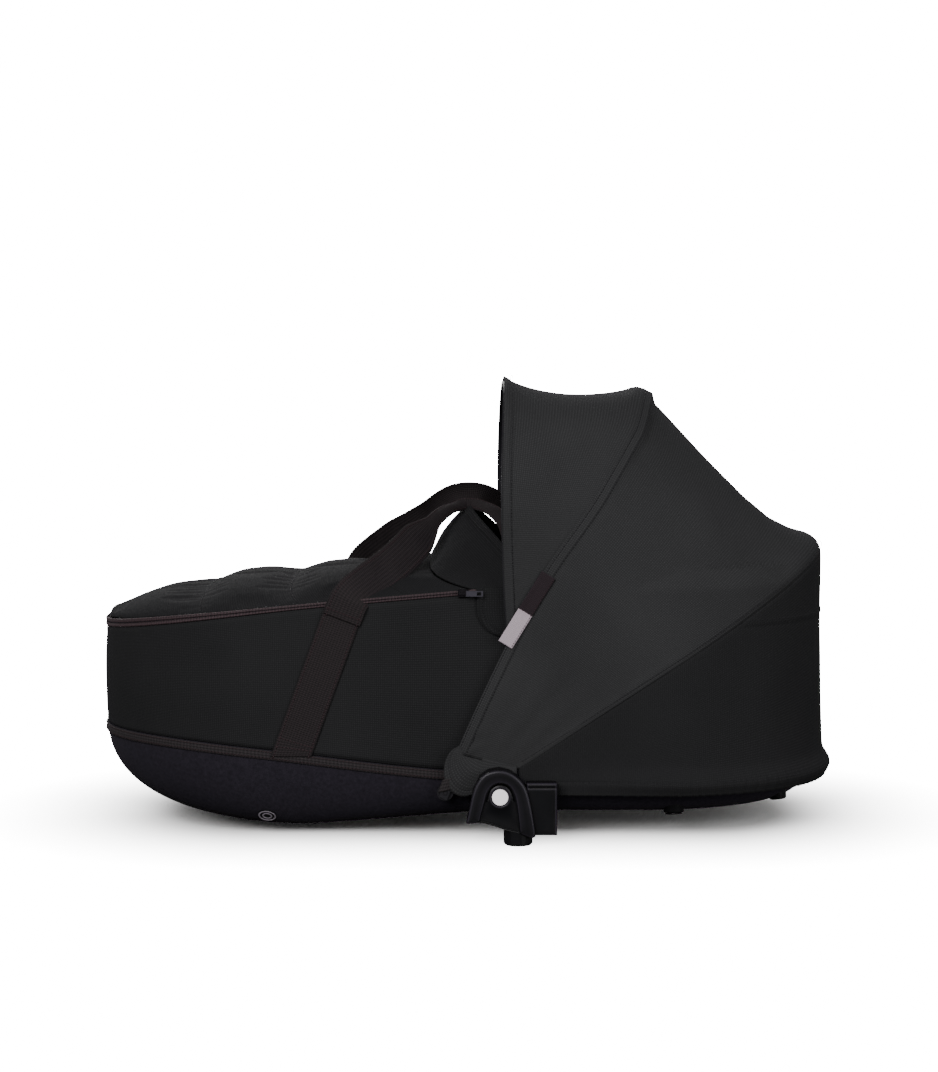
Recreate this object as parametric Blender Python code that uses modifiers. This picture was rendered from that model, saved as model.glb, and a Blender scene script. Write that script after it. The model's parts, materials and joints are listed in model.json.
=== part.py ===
# Carrycot: moulded base, soft walls, quilted apron, folding canopy, carry handles, two adapters.
# Metres, +Z up, +X towards the head end. The right side, seen in the photo, is at -Y.
import math

import bmesh
import bpy
from mathutils import Matrix, Vector

# Clearances
gap = 0.0003
seat_gap = 0.0004
cutter_overrun = 0.010

# Plan of the body
foot_end = -0.3955
head_end = 0.3750
half_width = 0.1840
corner_radius_share = 0.924
corner_radius = half_width * corner_radius_share
corner_steps = 7
side_steps = 9

# Heights of the seam between base and wall, and of the rim
seam_foot_height = 0.1055
seam_head_height = 0.0710
seam_fall_start = -0.3600
seam_fall_end = 0.0500
rim_height = 0.2572
rim_bend_x = 0.0060
rim_slope_share = 0.0850
rim_drop_start = -0.1300
rim_drop_reach = 0.2655
rim_drop = 0.0135

# Moulded base
shell_wall = 0.0035
shell_power = 2.2
shell_rings = 5
fit_steps = 30
shell_lip = 0.0040
shell_foot_inset = 0.1500
shell_head_inset = 0.0450
shell_side_inset = 0.0500
belly_foot_height = 0.0085
belly_head_height = 0.0245
belly_rise_start = -0.2200
belly_rise_end = 0.0600
binding_height = 0.0100
binding_thickness = 0.0014

# Soft walls and what is between them
wall_cloth = 0.0030
wall_bulge = 0.0020
wall_rows = 3
pad_thickness = 0.0055
pad_to_tube = 0.0006
rim_tube_radius = 0.0025
rim_tube_below_rim = 0.0036
liner_cloth = 0.0012
liner_below_rim = 0.0008
floor_board_height = 0.0500
floor_board_thickness = 0.0030

# Mattress
mattress_thickness = 0.0300
mattress_crown = 0.0080
mattress_channel_depth = 0.0060
mattress_channel_width = 0.0120
mattress_channels = 5
mattress_clearance = 0.0030
mattress_stations = 31
mattress_end_half_width = 0.0120
end_share = 0.35
edge_share = 0.45
cushion_shares = ((-1.0, 0.45), (-0.97, 0.74), (-0.86, 0.92), (-0.55, 0.985), (0.0, 1.0),
                  (0.55, 0.985), (0.86, 0.92), (0.97, 0.74), (1.0, 0.45), (0.95, 0.0), (-0.95, 0.0))

# Apron
apron_head_x = 0.0050
apron_head_dip = 0.0500
apron_foot_crown = 0.0255
apron_head_crown = 0.0040
apron_fall_start = -0.2000
apron_dip_power = 6
apron_foot_reach = 0.0900
apron_power = 2.6
apron_edge_power = 8
apron_foot_power = 3
apron_thickness = 0.0045
apron_seams = (-0.2830, -0.1900, -0.0950)
apron_seam_depth = 0.0075
apron_seam_width = 0.0130
apron_stations = 27
apron_columns = 14
apron_edge_rise = 0.0040
apron_end_half_width = 0.0130

# Zip round the rim
zip_height_foot = 0.0090
zip_height_side = 0.0050
zip_narrow_start = -0.3600
zip_narrow_end = -0.1500
zip_thickness = 0.0036
zip_proud = 0.0006
zip_end_x = 0.0120
slider_length = 0.0110
slider_height = 0.0085
slider_depth = 0.0026
slider_x = -0.0060
slider_bridge = 0.0014
slider_bridge_height = 0.0030
slider_beam_height = 0.0021
pull_length = 0.0180
pull_width = 0.0062
pull_thickness = 0.0010
pull_lap = 0.0023
pull_hole_length = 0.0046
pull_hole_width = 0.0036

# Wind flap at the apron's head edge
flap_width_share = 0.728
flap_half_width = half_width * flap_width_share
flap_base_x = -0.0452
flap_base_z = 0.2706
flap_base_sweep = 0.0084
flap_base_fall = 0.0029
flap_top_x = 0.0010
flap_top_z = 0.3330
flap_top_sweep = 0.0390
flap_top_fall = 0.0370
flap_thickness = 0.0026
flap_bow = 0.0060
flap_columns = 16
flap_rows = 5
flap_hinge_x = -0.0340
flap_hinge_z = 0.2690
flap_tab_steps = 4
flap_tab_x = 0.0225
flap_tab_width = 0.0160
flap_tab_low = 0.2290
flap_tab_high = 0.2532
flap_tab_thickness = 0.0016
flap_tab_corner = 0.0070

# Webbing straps and handles
webbing_width = 0.0400
webbing_thickness = 0.0014
strap_low_x = 0.1850
strap_low_z = 0.0900
strap_seam_x = 0.1330
strap_seam_z = 0.2365
strap_top_x = 0.1170
strap_top_z = 0.2623
strap_corner_share = 1.0
handle_hinge_out = 0.0036
handle_hinge_y = half_width + handle_hinge_out
handle_hinge_z = 0.2630
handle_thickness = 0.0020
handle_start = 0.0012
handle_rise = 0.0870
handle_grip_y = 0.0065
handle_grip_width = 0.0230
handle_grip_half_length = 0.0330
handle_leg_lean_share = 0.86
handle_steps = 30
handle_leg_part_share = 0.86
handle_curve_share = 1.0
handle_climb_power = 1.12
handle_twist_start_share = 0.62
handle_end_width_share = 0.94
handle_row_shares = (-1.0, -0.33, 0.33, 1.0)

# Canopy ribs
rib_width = 0.0090
rib_thickness = 0.0030
front_layer_out = 0.0059
front_layer_y = half_width + front_layer_out
main_layer_out = 0.0097
main_layer_y = half_width + main_layer_out
main_pivot_x = -0.0247
main_pivot_z = 0.0516
main_crown_x = 0.1936
main_crown_z = 0.4646
main_rib_bow = 0.0115
main_arch_height = 0.2000
main_arch_power = 2.5
visor_pivot_share = 0.36
front_crown_reach = 0.1526
front_crown_rise = 0.0110
front_crown_x = main_crown_x - front_crown_reach
front_crown_z = main_crown_z + front_crown_rise
front_rib_bow = 0.0050
front_arch_height = 0.1900
front_arch_power = 3.0
rib_end_beyond_pivot = 0.0060
rear_rib_x = 0.0322
rear_rib_z = 0.0635
rear_rib_slope_share = 0.6504
arch_steps = 12
leg_steps = 3
rib_join_share = 0.01
pivot_pin_radius = 0.0020
pivot_hole_radius = 0.0024
pivot_head_radius = 0.0042
pivot_head_thickness = 0.0010
hub_radius = 0.0085
round_sides = 24

# Canopy cloth
canopy_cloth = 0.0012
cloth_lift = 0.0004
visor_front_overhang = 0.0052
visor_sag = 0.0100
main_sag = 0.0115
sag_full_width = 0.1800
sag_side_power = 4
sag_along_power = 0.6
main_front_overhang = 0.0070
main_back_cover = 0.0065
panel_rows = 7
panel_low_share = 0.095
visor_low_share = 0.06
panel_joint_gap = 0.0010
panel_to_wall = 0.0075
panel_over_rim = 0.0200
skirt_start_x = 0.0520
skirt_hem_side_z = 0.0505
skirt_hem_head_z = 0.0530
skirt_hem_fall_start = 0.2600
skirt_flare = 0.0130
skirt_flare_height = 0.0450
skirt_above_rib = 0.0070
skirt_rows = 6
skirt_row_power = 0.8
skirt_flare_power = 1.5
pocket_width = 0.0200
pocket_low_share = -0.012
pocket_high_share = 0.085

# Bare label tag
tag_width = 0.0164
tag_length = 0.0850
tag_thickness = 0.0008
tag_x = 0.0596
tag_z = 0.2428
tag_angle = math.radians(58.2)

# Adapters
arch_left_x = -0.0024
arch_low_z = 0.0091
arch_width = 0.0709
arch_height = 0.0710
arch_inner_out = 0.0150
arch_inner_y = half_width + arch_inner_out
arch_outer_out = 0.0380
arch_outer_y = half_width + arch_outer_out
arch_recess_depth = 0.0030
arch_bevel = 0.0012
arch_outline_shares = (
    (0.000, 0.224), (0.038, 0.393), (0.092, 0.686), (0.192, 0.882), (0.307, 0.968),
    (0.474, 1.000), (0.629, 0.962), (0.756, 0.868), (0.859, 0.738), (0.924, 0.493),
    (1.000, 0.032), (0.949, 0.000), (0.752, 0.086), (0.566, 0.121), (0.371, 0.192),
    (0.192, 0.237), (0.062, 0.220))
recess_outline_shares = (
    (0.150, -0.200), (0.173, 0.249), (0.244, 0.493), (0.292, 0.686), (0.371, 0.789),
    (0.499, 0.825), (0.629, 0.776), (0.705, 0.637), (0.743, 0.431), (0.781, 0.099),
    (0.800, -0.200))
block_low_x = 0.0591
block_high_x = 0.0906
block_low_z = 0.0111
block_high_z = 0.0655
block_inner_out = 0.0135
block_inner_y = half_width + block_inner_out
block_outer_out = 0.0310
block_outer_y = half_width + block_outer_out
block_bevel = 0.0020
block_groove_z = 0.0600
block_groove_height = 0.0022
block_groove_depth = 0.0010
block_groove_inset = 0.0060
peg_x = 0.0507
peg_out = 0.0210
peg_y = half_width + peg_out
peg_radius = 0.0150
peg_bore_radius = 0.0090
peg_top_z = 0.0300
peg_lead_in = 0.0020
lug_low_x = 0.0120
lug_high_x = 0.0560
lug_low_z = 0.0320
lug_high_z = 0.0500
lug_inner_in = 0.0190
lug_inner_y = half_width - lug_inner_in
lug_overlap = 0.0020
chamber_low_x = 0.0228
chamber_high_x = 0.0560
chamber_inner_out = 0.0176
chamber_inner_y = half_width + chamber_inner_out
chamber_outer_out = 0.0315
chamber_outer_y = half_width + chamber_outer_out
chamber_low_z = 0.0220
chamber_high_z = 0.0620
button_x = 0.0320
button_z = 0.0515
button_radius = 0.0084
button_clearance = 0.0004
button_face_out = 0.0372
button_face_y = half_width + button_face_out
button_dome = 0.0006
button_head_depth = 0.0072
button_stem_radius = 0.0030
button_stem_tip_radius = 0.0012
lever_pivot_out = 0.0240
lever_pivot_y = half_width + lever_pivot_out
lever_pivot_z = 0.0340
lever_thickness = 0.0026
lever_barrel_radius = 0.0031
lever_low_x = 0.0275
lever_arm_width = 0.0090
lever_top_z = 0.0560
hook_half_width = 0.0038
hook_low_z = 0.0055
hook_height = 0.0040
hook_tip_out = 0.0046
hook_tip_y = half_width + hook_tip_out
lower_arm_out = 0.0208
lower_arm_y = half_width + lower_arm_out
latch_pin_radius = 0.0012
latch_pin_clearance = 0.0003
slot_clearance = 0.0012
slot_low_z = 0.0020
slot_high_z = 0.0135
spring_wire_radius = 0.0003
spring_radius = 0.0034
spring_turns = 3
spring_points_per_turn = 10

# Feet on the base
probe_angle = math.radians(2)
disc_x = -0.2115
disc_angle = math.radians(56.0)
disc_radius = 0.0100
disc_proud = 0.0012
foot_x = 0.2150
foot_angle = math.radians(64.0)
foot_radius = 0.0130
foot_proud = 0.0042
end_foot_x = 0.3310
end_foot_angle = math.radians(54.0)
end_foot_radius = 0.0110
end_foot_proud = 0.0045
foot_upright_share = 0.75
foot_taper_share = 0.80
foot_depth = 0.0120
foot_bevel = 0.0010
foot_bevel_share = 0.33

# Colours
felt_hex = "211f24"
cloth_hex = "27262a"
skirt_hex = "1e1d20"
apron_hex = "2c2b2e"
webbing_hex = "1a1416"
zip_hex = "3a3033"
plastic_hex = "1a181d"
button_hex = "e9e3e5"
steel_hex = "9a9a9c"
lining_hex = "3c3b3f"
board_hex = "6b6a68"
tag_hex = "2b2428"


def clear_scene():
    for old in list(bpy.data.objects):
        bpy.data.objects.remove(old, do_unlink=True)


def linear(hex_text):
    values = []
    for start in range(0, len(hex_text), 2):
        channel = int(hex_text[start:start + 2], 16) / 255
        values.append(channel / 12.92 if channel <= 0.04045 else ((channel + 0.055) / 1.055) ** 2.4)
    return (*values, 1.0)


def finish_of(name, hex_text, roughness, metallic=0.0):
    made = bpy.data.materials.new(name)
    made.use_nodes = True
    shader = made.node_tree.nodes["Principled BSDF"]
    shader.inputs["Base Color"].default_value = linear(hex_text)
    shader.inputs["Roughness"].default_value = roughness
    shader.inputs["Metallic"].default_value = metallic
    return made


def smooth_step(start, end, value):
    share = min(1.0, max(0.0, (value - start) / (end - start)))
    return share * share * (3 - 2 * share)


def mix(a, b, share):
    return a + (b - a) * share


# Heights along the body

def seam_height(x):
    return mix(seam_foot_height, seam_head_height, smooth_step(seam_fall_start, seam_fall_end, x))


def belly_height(x):
    return mix(belly_foot_height, belly_head_height, smooth_step(belly_rise_start, belly_rise_end, x))


def rim_line(x):
    height = rim_height - rim_slope_share * max(0.0, rim_bend_x - x)
    past = max(0.0, rim_drop_start - x) / rim_drop_reach
    return height - rim_drop * past * past


def rear_rib_line(x):
    return rear_rib_z + rear_rib_slope_share * (x - rear_rib_x)


# Plan outlines: points from the head end round the +Y side to the foot end and back

def outline(inset):
    radius = corner_radius - inset
    low_x = foot_end + inset
    high_x = head_end - inset
    wide = half_width - inset
    half = []
    for step in range(corner_steps + 1):
        turn = math.pi / 2 * step / corner_steps
        half.append((high_x - radius + radius * math.cos(turn), wide - radius + radius * math.sin(turn)))
    for step in range(1, side_steps):
        half.append((mix(high_x - radius, low_x + radius, step / side_steps), wide))
    for step in range(corner_steps + 1):
        turn = math.pi / 2 * (1 + step / corner_steps)
        half.append((low_x + radius + radius * math.cos(turn), wide - radius + radius * math.sin(turn)))
    return half + [(x, -y) for x, y in reversed(half)]


def width_in(ring, x):
    half = ring[:len(ring) // 2]
    for first, second in zip(half, half[1:]):
        if second[0] <= x <= first[0] and first[0] > second[0]:
            return mix(first[1], second[1], (first[0] - x) / (first[0] - second[0]))
    return 0.0


def shell_point(x, y, angle, inset):
    pull = 1 - math.cos(angle) ** (2 / shell_power)
    drop = math.sin(angle) ** (2 / shell_power)
    along = shell_foot_inset / -foot_end if x < 0 else shell_head_inset / head_end
    across = shell_side_inset / half_width
    new_x = x * (1 - along * pull)
    new_y = y * (1 - across * pull)
    top = seam_height(x)
    return Vector((new_x, new_y, mix(top, belly_height(new_x) + inset, drop)))


def shell_ring(angle, inset):
    return [shell_point(x, y, angle, inset) for x, y in outline(inset)]


def ring_at_height(height, inset):
    ring = []
    for x, y in outline(inset):
        low, high = 0.0, math.pi / 2
        for _ in range(fit_steps):
            middle = (low + high) / 2
            if shell_point(x, y, middle, inset).z > height:
                low = middle
            else:
                high = middle
        point = shell_point(x, y, high, inset)
        ring.append(Vector((point.x, point.y, height)))
    return ring


# Mesh building

def add_grid(bm, rows, wrap):
    made = [[bm.verts.new(point) for point in row] for row in rows]
    count = len(rows[0])
    last = count if wrap else count - 1
    for upper, lower in zip(made, made[1:]):
        for index in range(last):
            follow = (index + 1) % count
            bm.faces.new((upper[index], upper[follow], lower[follow], lower[index]))
    return made


def close_ring(bm, ring):
    count = len(ring)
    half = count // 2
    for index in range(half - 1):
        bm.faces.new((ring[index], ring[index + 1], ring[count - index - 2], ring[count - index - 1]))


def mesh_of(name, bm, away_from=None):
    bm.normal_update()
    bmesh.ops.recalc_face_normals(bm, faces=bm.faces)
    if away_from is not None:
        out = sum((face.calc_center_median() - away_from).dot(face.normal) * face.calc_area()
                  for face in bm.faces)
        if out < 0:
            bmesh.ops.reverse_faces(bm, faces=bm.faces)
    mesh = bpy.data.meshes.new(name)
    bm.to_mesh(mesh)
    bm.free()
    return mesh


def add_object(name, mesh, finish, group):
    made = bpy.data.objects.new(name, mesh)
    mesh.materials.clear()
    mesh.materials.append(finish)
    mesh.shade_smooth()
    mesh.set_sharp_from_angle(angle=math.radians(35))
    group.objects.link(made)
    return made


def thicken(made, thickness, side):
    wall = made.modifiers.new("wall", "SOLIDIFY")
    wall.thickness = thickness
    wall.offset = side
    wall.use_even_offset = True
    return made


def sheet(name, rows, thickness, side, finish, away_from, wrap=False, closed=False):
    bm = bmesh.new()
    made = add_grid(bm, rows, wrap)
    if closed:
        close_ring(bm, made[-1])
    return thicken(add_object(name, mesh_of(name, bm, away_from), finish, parts), thickness, side)


def loft(name, rows, finish, group=None):
    bm = bmesh.new()
    made = add_grid(bm, rows, True)
    bm.faces.new(made[0])
    bm.faces.new(list(reversed(made[-1])))
    return add_object(name, mesh_of(name, bm), finish, group or parts)


def hang_on(place, *names):
    for name in names:
        made = parts.objects[name]
        made.data.transform(Matrix.Translation(-place))
        made.location = place


def flat_sided(made):
    made.data.shade_flat()
    return made


def as_cutter(made):
    made.hide_render = True
    made.display_type = "WIRE"
    return made


def combine(made, tool, operation):
    step = made.modifiers.new(operation.lower(), "BOOLEAN")
    step.operation = operation
    step.solver = "EXACT"
    step.object = tool
    return made


def bevel(made, width, segments=2):
    step = made.modifiers.new("edges", "BEVEL")
    step.width = width
    step.segments = segments
    step.limit_method = "ANGLE"
    step.angle_limit = math.radians(40)
    return made


def box_mesh(name, low, high):
    bm = bmesh.new()
    bmesh.ops.create_cube(bm, size=1)
    for vert in bm.verts:
        vert.co = Vector([mix(low[axis], high[axis], vert.co[axis] + 0.5) for axis in range(3)])
    return mesh_of(name, bm)


def rod_mesh(name, start, end, radius, end_radius=None, sides=round_sides):
    bm = bmesh.new()
    span = end - start
    turn = span.to_track_quat("Z", "Y").to_matrix().to_4x4()
    place = Matrix.Translation((start + end) / 2) @ turn
    bmesh.ops.create_cone(bm, cap_ends=True, segments=sides, radius1=radius,
                          radius2=radius if end_radius is None else end_radius,
                          depth=span.length, matrix=place)
    return mesh_of(name, bm)


def mirror_mesh(mesh, side):
    if side < 0:
        bm = bmesh.new()
        bm.from_mesh(mesh)
        for vert in bm.verts:
            vert.co.y = -vert.co.y
        bmesh.ops.reverse_faces(bm, faces=bm.faces)
        bm.to_mesh(mesh)
        bm.free()
    return mesh


def side_name(name, side):
    return name + ("_left" if side > 0 else "_right")


# Every sided piece is drawn on the left, at +Y, and mirrored for the right
def sided(name, mesh, side, finish, group=None):
    return add_object(side_name(name, side), mirror_mesh(mesh, side), finish, group or parts)


def plate_mesh(name, points, low_y, high_y):
    curve = bpy.data.curves.new(name, "CURVE")
    curve.dimensions = "2D"
    curve.fill_mode = "BOTH"
    curve.extrude = (high_y - low_y) / 2
    spline = curve.splines.new("POLY")
    spline.points.add(len(points) - 1)
    for slot, (x, z) in zip(spline.points, points):
        slot.co = (x, z, 0, 1)
    spline.use_cyclic_u = True
    holder = bpy.data.objects.new(name, curve)
    parts.objects.link(holder)
    bpy.context.view_layer.update()
    flat = bpy.data.meshes.new_from_object(holder.evaluated_get(bpy.context.evaluated_depsgraph_get()))
    bpy.data.objects.remove(holder)
    bm = bmesh.new()
    bm.from_mesh(flat)
    bmesh.ops.remove_doubles(bm, verts=bm.verts, dist=gap / 10)
    middle = (low_y + high_y) / 2
    for vert in bm.verts:
        x, z, y = vert.co
        vert.co = Vector((x, middle + y, z))
    return mesh_of(name, bm)


def mesh_from_curve(name, points, radius, resolution, cyclic):
    curve = bpy.data.curves.new(name, "CURVE")
    curve.dimensions = "3D"
    curve.bevel_depth = radius
    curve.bevel_resolution = resolution
    curve.use_fill_caps = not cyclic
    spline = curve.splines.new("POLY")
    spline.points.add(len(points) - 1)
    for slot, point in zip(spline.points, points):
        slot.co = (*point, 1)
    spline.use_cyclic_u = cyclic
    holder = bpy.data.objects.new(name, curve)
    parts.objects.link(holder)
    bpy.context.view_layer.update()
    tube = bpy.data.meshes.new_from_object(holder.evaluated_get(bpy.context.evaluated_depsgraph_get()))
    bpy.data.objects.remove(holder)
    bm = bmesh.new()
    bm.from_mesh(tube)
    bmesh.ops.remove_doubles(bm, verts=bm.verts, dist=radius / 100)
    return mesh_of(name, bm)


# Body

def wall_row(share, low_shift, high_shift, inset):
    row = []
    for (x, y), (out_x, out_y) in zip(outline(inset), outline(inset - wall_bulge)):
        z = mix(seam_height(x) + low_shift, rim_line(x) + high_shift, share)
        up = (z - seam_height(x)) / (rim_line(x) - seam_height(x))
        bulge = 4 * up * (1 - up)
        row.append(Vector((mix(x, out_x, bulge), mix(y, out_y, bulge), z)))
    return row


def wall_face(x, z):
    up = (z - seam_height(x)) / (rim_line(x) - seam_height(x))
    return half_width + wall_bulge * 4 * up * (1 - up)


def wall_rings(low_shift, high_shift, inset, rows=wall_rows):
    return [wall_row(step / rows, low_shift, high_shift, inset) for step in range(rows, -1, -1)]


def make_base():
    rings = [shell_ring(math.pi / 2 * step / shell_rings, 0.0) for step in range(shell_rings + 1)]
    rings.insert(1, [point - Vector((0, 0, shell_lip)) for point in rings[0]])
    sheet("base_shell", rings, shell_wall, -1, felt, body_middle, wrap=True, closed=True)
    outer = [[Vector((x, y, seam_height(x) + z)) for x, y in outline(-gap)]
             for z in (-gap, -binding_height)]
    sheet("base_binding", outer, binding_thickness, 1, webbing, body_middle, wrap=True)


def make_base_cutter():
    rings = [[Vector((x, y, rim_line(x))) for x, y in outline(-seat_gap)]]
    rings += [shell_ring(math.pi / 2 * step / shell_rings, -seat_gap) for step in range(shell_rings + 1)]
    rings.insert(2, [point - Vector((0, 0, shell_lip)) for point in rings[1]])
    bm = bmesh.new()
    made = add_grid(bm, rings, True)
    close_ring(bm, made[0])
    close_ring(bm, made[-1])
    base_form = as_cutter(add_object("base_form", mesh_of("base_form", bm), felt, cutters))
    rings = [[Vector((x, y, seam_height(x) + z)) for x, y in outline(-binding_thickness - 2 * gap)]
             for z in (gap, -binding_height - gap)]
    bm = bmesh.new()
    made = add_grid(bm, rings, True)
    close_ring(bm, made[0])
    close_ring(bm, made[-1])
    return base_form, as_cutter(add_object("binding_form", mesh_of("binding_form", bm), felt, cutters))


def make_floor():
    inset = shell_wall + gap
    ring = ring_at_height(floor_board_height, inset + gap)
    top = [point + Vector((0, 0, floor_board_thickness)) for point in ring]
    bm = bmesh.new()
    made = add_grid(bm, [top, ring], True)
    close_ring(bm, made[0])
    close_ring(bm, made[1])
    flat_sided(add_object("floor_board", mesh_of("floor_board", bm), board, parts))


def make_walls():
    sheet("side_wall", wall_rings(gap, 0, 0), wall_cloth, -1, cloth, body_middle, wrap=True)
    inset = wall_cloth + gap
    tube_low = rim_tube_below_rim + rim_tube_radius + pad_to_tube
    sheet("wall_pad", wall_rings(gap, -tube_low, inset), pad_thickness, -1, foam,
          body_middle, wrap=True)
    tube_inset = inset + pad_thickness / 2
    loop = [Vector((x, y, rim_line(x) - rim_tube_below_rim)) for x, y in outline(tube_inset)]
    add_object("rim_frame", mesh_from_curve("rim_frame", loop, rim_tube_radius, 1, True), steel, parts)
    inset += pad_thickness + gap
    rows = wall_rings(0, -liner_below_rim, inset)
    rows.append(ring_at_height(floor_board_height + floor_board_thickness + gap, inset))
    sheet("inner_liner", rows, liner_cloth, -1, lining, body_middle, wrap=True, closed=True)


def make_mattress():
    low = floor_board_height + floor_board_thickness + liner_cloth + 2 * gap
    inset = wall_cloth + pad_thickness + liner_cloth + 2 * gap + mattress_clearance
    ring = ring_at_height(low, inset)
    high_x = ring[0].x - gap
    low_x = ring[len(ring) // 2 - 1].x + gap
    channels = [mix(low_x, high_x, step / (mattress_channels + 1))
                for step in range(1, mattress_channels + 1)]
    rows = []
    for step in range(mattress_stations):
        turn = math.pi * step / (mattress_stations - 1)
        even = mix(low_x, high_x, step / (mattress_stations - 1))
        x = mix(even, (low_x + high_x) / 2 - (high_x - low_x) / 2 * math.cos(turn), end_share)
        near = min(channels, key=lambda place: abs(place - x))
        if abs(near - x) < (high_x - low_x) / (mattress_stations - 1) / 2:
            x = near
        width = max(width_in(ring, x), mattress_end_half_width)
        dip = max(math.exp(-((x - place) / mattress_channel_width) ** 2) for place in channels)
        edge = min(1.0, (min(x - low_x, high_x - x)) / mattress_thickness)
        top = mattress_thickness * mix(edge_share, 1.0, math.sqrt(max(0.0, 1 - (1 - edge) ** 2)))
        top = low + top + mattress_crown * edge - mattress_channel_depth * dip * edge
        rows.append(cushion_section(x, width, low, top))
    loft("mattress", rows, lining)


def cushion_section(x, width, low, top):
    return [Vector((x, width * across, mix(low, top, up))) for across, up in cushion_shares]


# Zip and apron

def zip_height(x):
    return mix(zip_height_foot, zip_height_side, smooth_step(zip_narrow_start, zip_narrow_end, x))


def rim_run(inset, end_x):
    ring = outline(inset)
    side = [point for point in ring[:len(ring) // 2] if point[0] < end_x]
    run = [(end_x, half_width - inset)] + side
    return run + [(x, -y) for x, y in reversed(run)]


def make_zip():
    run = rim_run(-zip_proud, zip_end_x)
    rows = [[Vector((x, y, rim_line(x) + gap + share * zip_height(x))) for x, y in run]
            for share in (1.0, 0.0)]
    sheet("zip_chain", rows, zip_thickness, -1, tape, body_middle)


def apron_height(x, across):
    from_foot = min(1.0, max(0.0, (x - foot_end) / apron_foot_reach))
    crown = mix(apron_foot_crown, apron_head_crown, smooth_step(apron_fall_start, apron_head_x, x))
    crown *= 1 - (1 - from_foot) ** apron_foot_power
    dome = 1 - abs(across) ** apron_power
    dip = max(math.exp(-((x - place) / apron_seam_width) ** 2) for place in apron_seams)
    low = rim_line(x) + zip_height(x) + 2 * gap + apron_edge_rise * (1 - abs(across) ** apron_edge_power)
    return low + crown * dome - apron_seam_depth * dip * dome


def apron_point(share, across):
    inset = zip_thickness - zip_proud + gap
    x = mix(foot_end + inset, apron_head_x, share)
    width = max(width_in(outline(inset), x), apron_end_half_width)
    dip = apron_head_dip * (1 - abs(across) ** apron_dip_power) * share * share
    y = width * across
    place = x - dip
    return Vector((place, y, apron_height(place, across)))


def make_apron():
    rows = []
    for step in range(apron_stations):
        share = step / (apron_stations - 1)
        share = mix(share, share * share, end_share)
        rows.append([apron_point(share, mix(-1.0, 1.0, column / apron_columns))
                     for column in range(apron_columns + 1)])
    sheet("apron", rows, apron_thickness, -1, quilt, body_middle)


def flap_point(up, across):
    y = flap_half_width * across
    base = Vector((flap_base_x + flap_base_sweep * across ** 2, y,
                   flap_base_z - flap_base_fall * across ** 2))
    top = Vector((flap_top_x + flap_top_sweep * across ** 2, y,
                  flap_top_z - flap_top_fall * across ** 2))
    bow = Vector((-1, 0, 1)).normalized() * flap_bow * 4 * up * (1 - up)
    return base.lerp(top, up) + bow


def make_flap():
    rows = [[flap_point(1 - row / flap_rows, mix(-1.0, 1.0, column / flap_columns))
             for column in range(flap_columns + 1)] for row in range(flap_rows + 1)]
    sheet("wind_flap", rows, flap_thickness, 0, quilt, body_middle)
    for side in (1, -1):
        low_y = wall_face(flap_tab_x, flap_tab_low) + gap
        left = flap_tab_x - flap_tab_width / 2
        right = flap_tab_x + flap_tab_width / 2
        points = [(left, flap_tab_high), (right, flap_tab_high)]
        for step in range(flap_tab_steps + 1):
            turn = math.pi / 2 * step / flap_tab_steps
            points.append((right - flap_tab_corner + flap_tab_corner * math.cos(turn),
                           flap_tab_low + flap_tab_corner - flap_tab_corner * math.sin(turn)))
        points.append((left, flap_tab_low + flap_tab_corner))
        sided("flap_tab", plate_mesh("flap_tab", points, low_y, low_y + flap_tab_thickness), side, quilt)


def make_sliders():
    face_y = half_width + zip_proud + gap
    low_z = rim_line(slider_x) + zip_height_side / 2 - slider_height / 2
    for side in (1, -1):
        body = box_mesh("zip_slider", (slider_x - slider_length / 2, face_y, low_z),
                        (slider_x + slider_length / 2, face_y + slider_depth, low_z + slider_height))
        slider = bevel(sided("zip_slider", body, side, zipper), slider_bridge / 2, 1)
        for name, low_x in (("bridge_foot", slider_x - slider_length / 2 + slider_bridge / 2),
                            ("bridge_head", slider_x + slider_length / 2 - slider_bridge * 3 / 2)):
            middle = low_z + slider_height / 2
            post = box_mesh(name, (low_x, face_y + slider_depth / 2, middle - slider_bridge),
                            (low_x + slider_bridge, face_y + slider_depth + slider_bridge_height,
                             middle + slider_bridge))
            combine(slider, as_cutter(sided(name, post, side, zipper, cutters)), "UNION")
        high_y = face_y + slider_depth + slider_bridge_height
        beam = box_mesh("bridge_beam",
                        (slider_x - slider_length / 2 + slider_bridge / 2, high_y - slider_bridge / 2,
                         middle - slider_beam_height / 2),
                        (slider_x + slider_length / 2 - slider_bridge / 2, high_y + slider_bridge / 2,
                         middle + slider_beam_height / 2))
        combine(slider, as_cutter(sided("bridge_beam", beam, side, zipper, cutters)), "UNION")
        make_pull(side)


def pull_place(side):
    low_x = slider_x + slider_length / 2 - pull_lap
    beam_y = half_width + zip_proud + gap + slider_depth + slider_bridge_height
    hang_y = beam_y + slider_bridge / 2 + gap + pull_thickness / 2
    return Vector((low_x, side * hang_y, rim_line(slider_x) + zip_height_side / 2))


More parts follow.
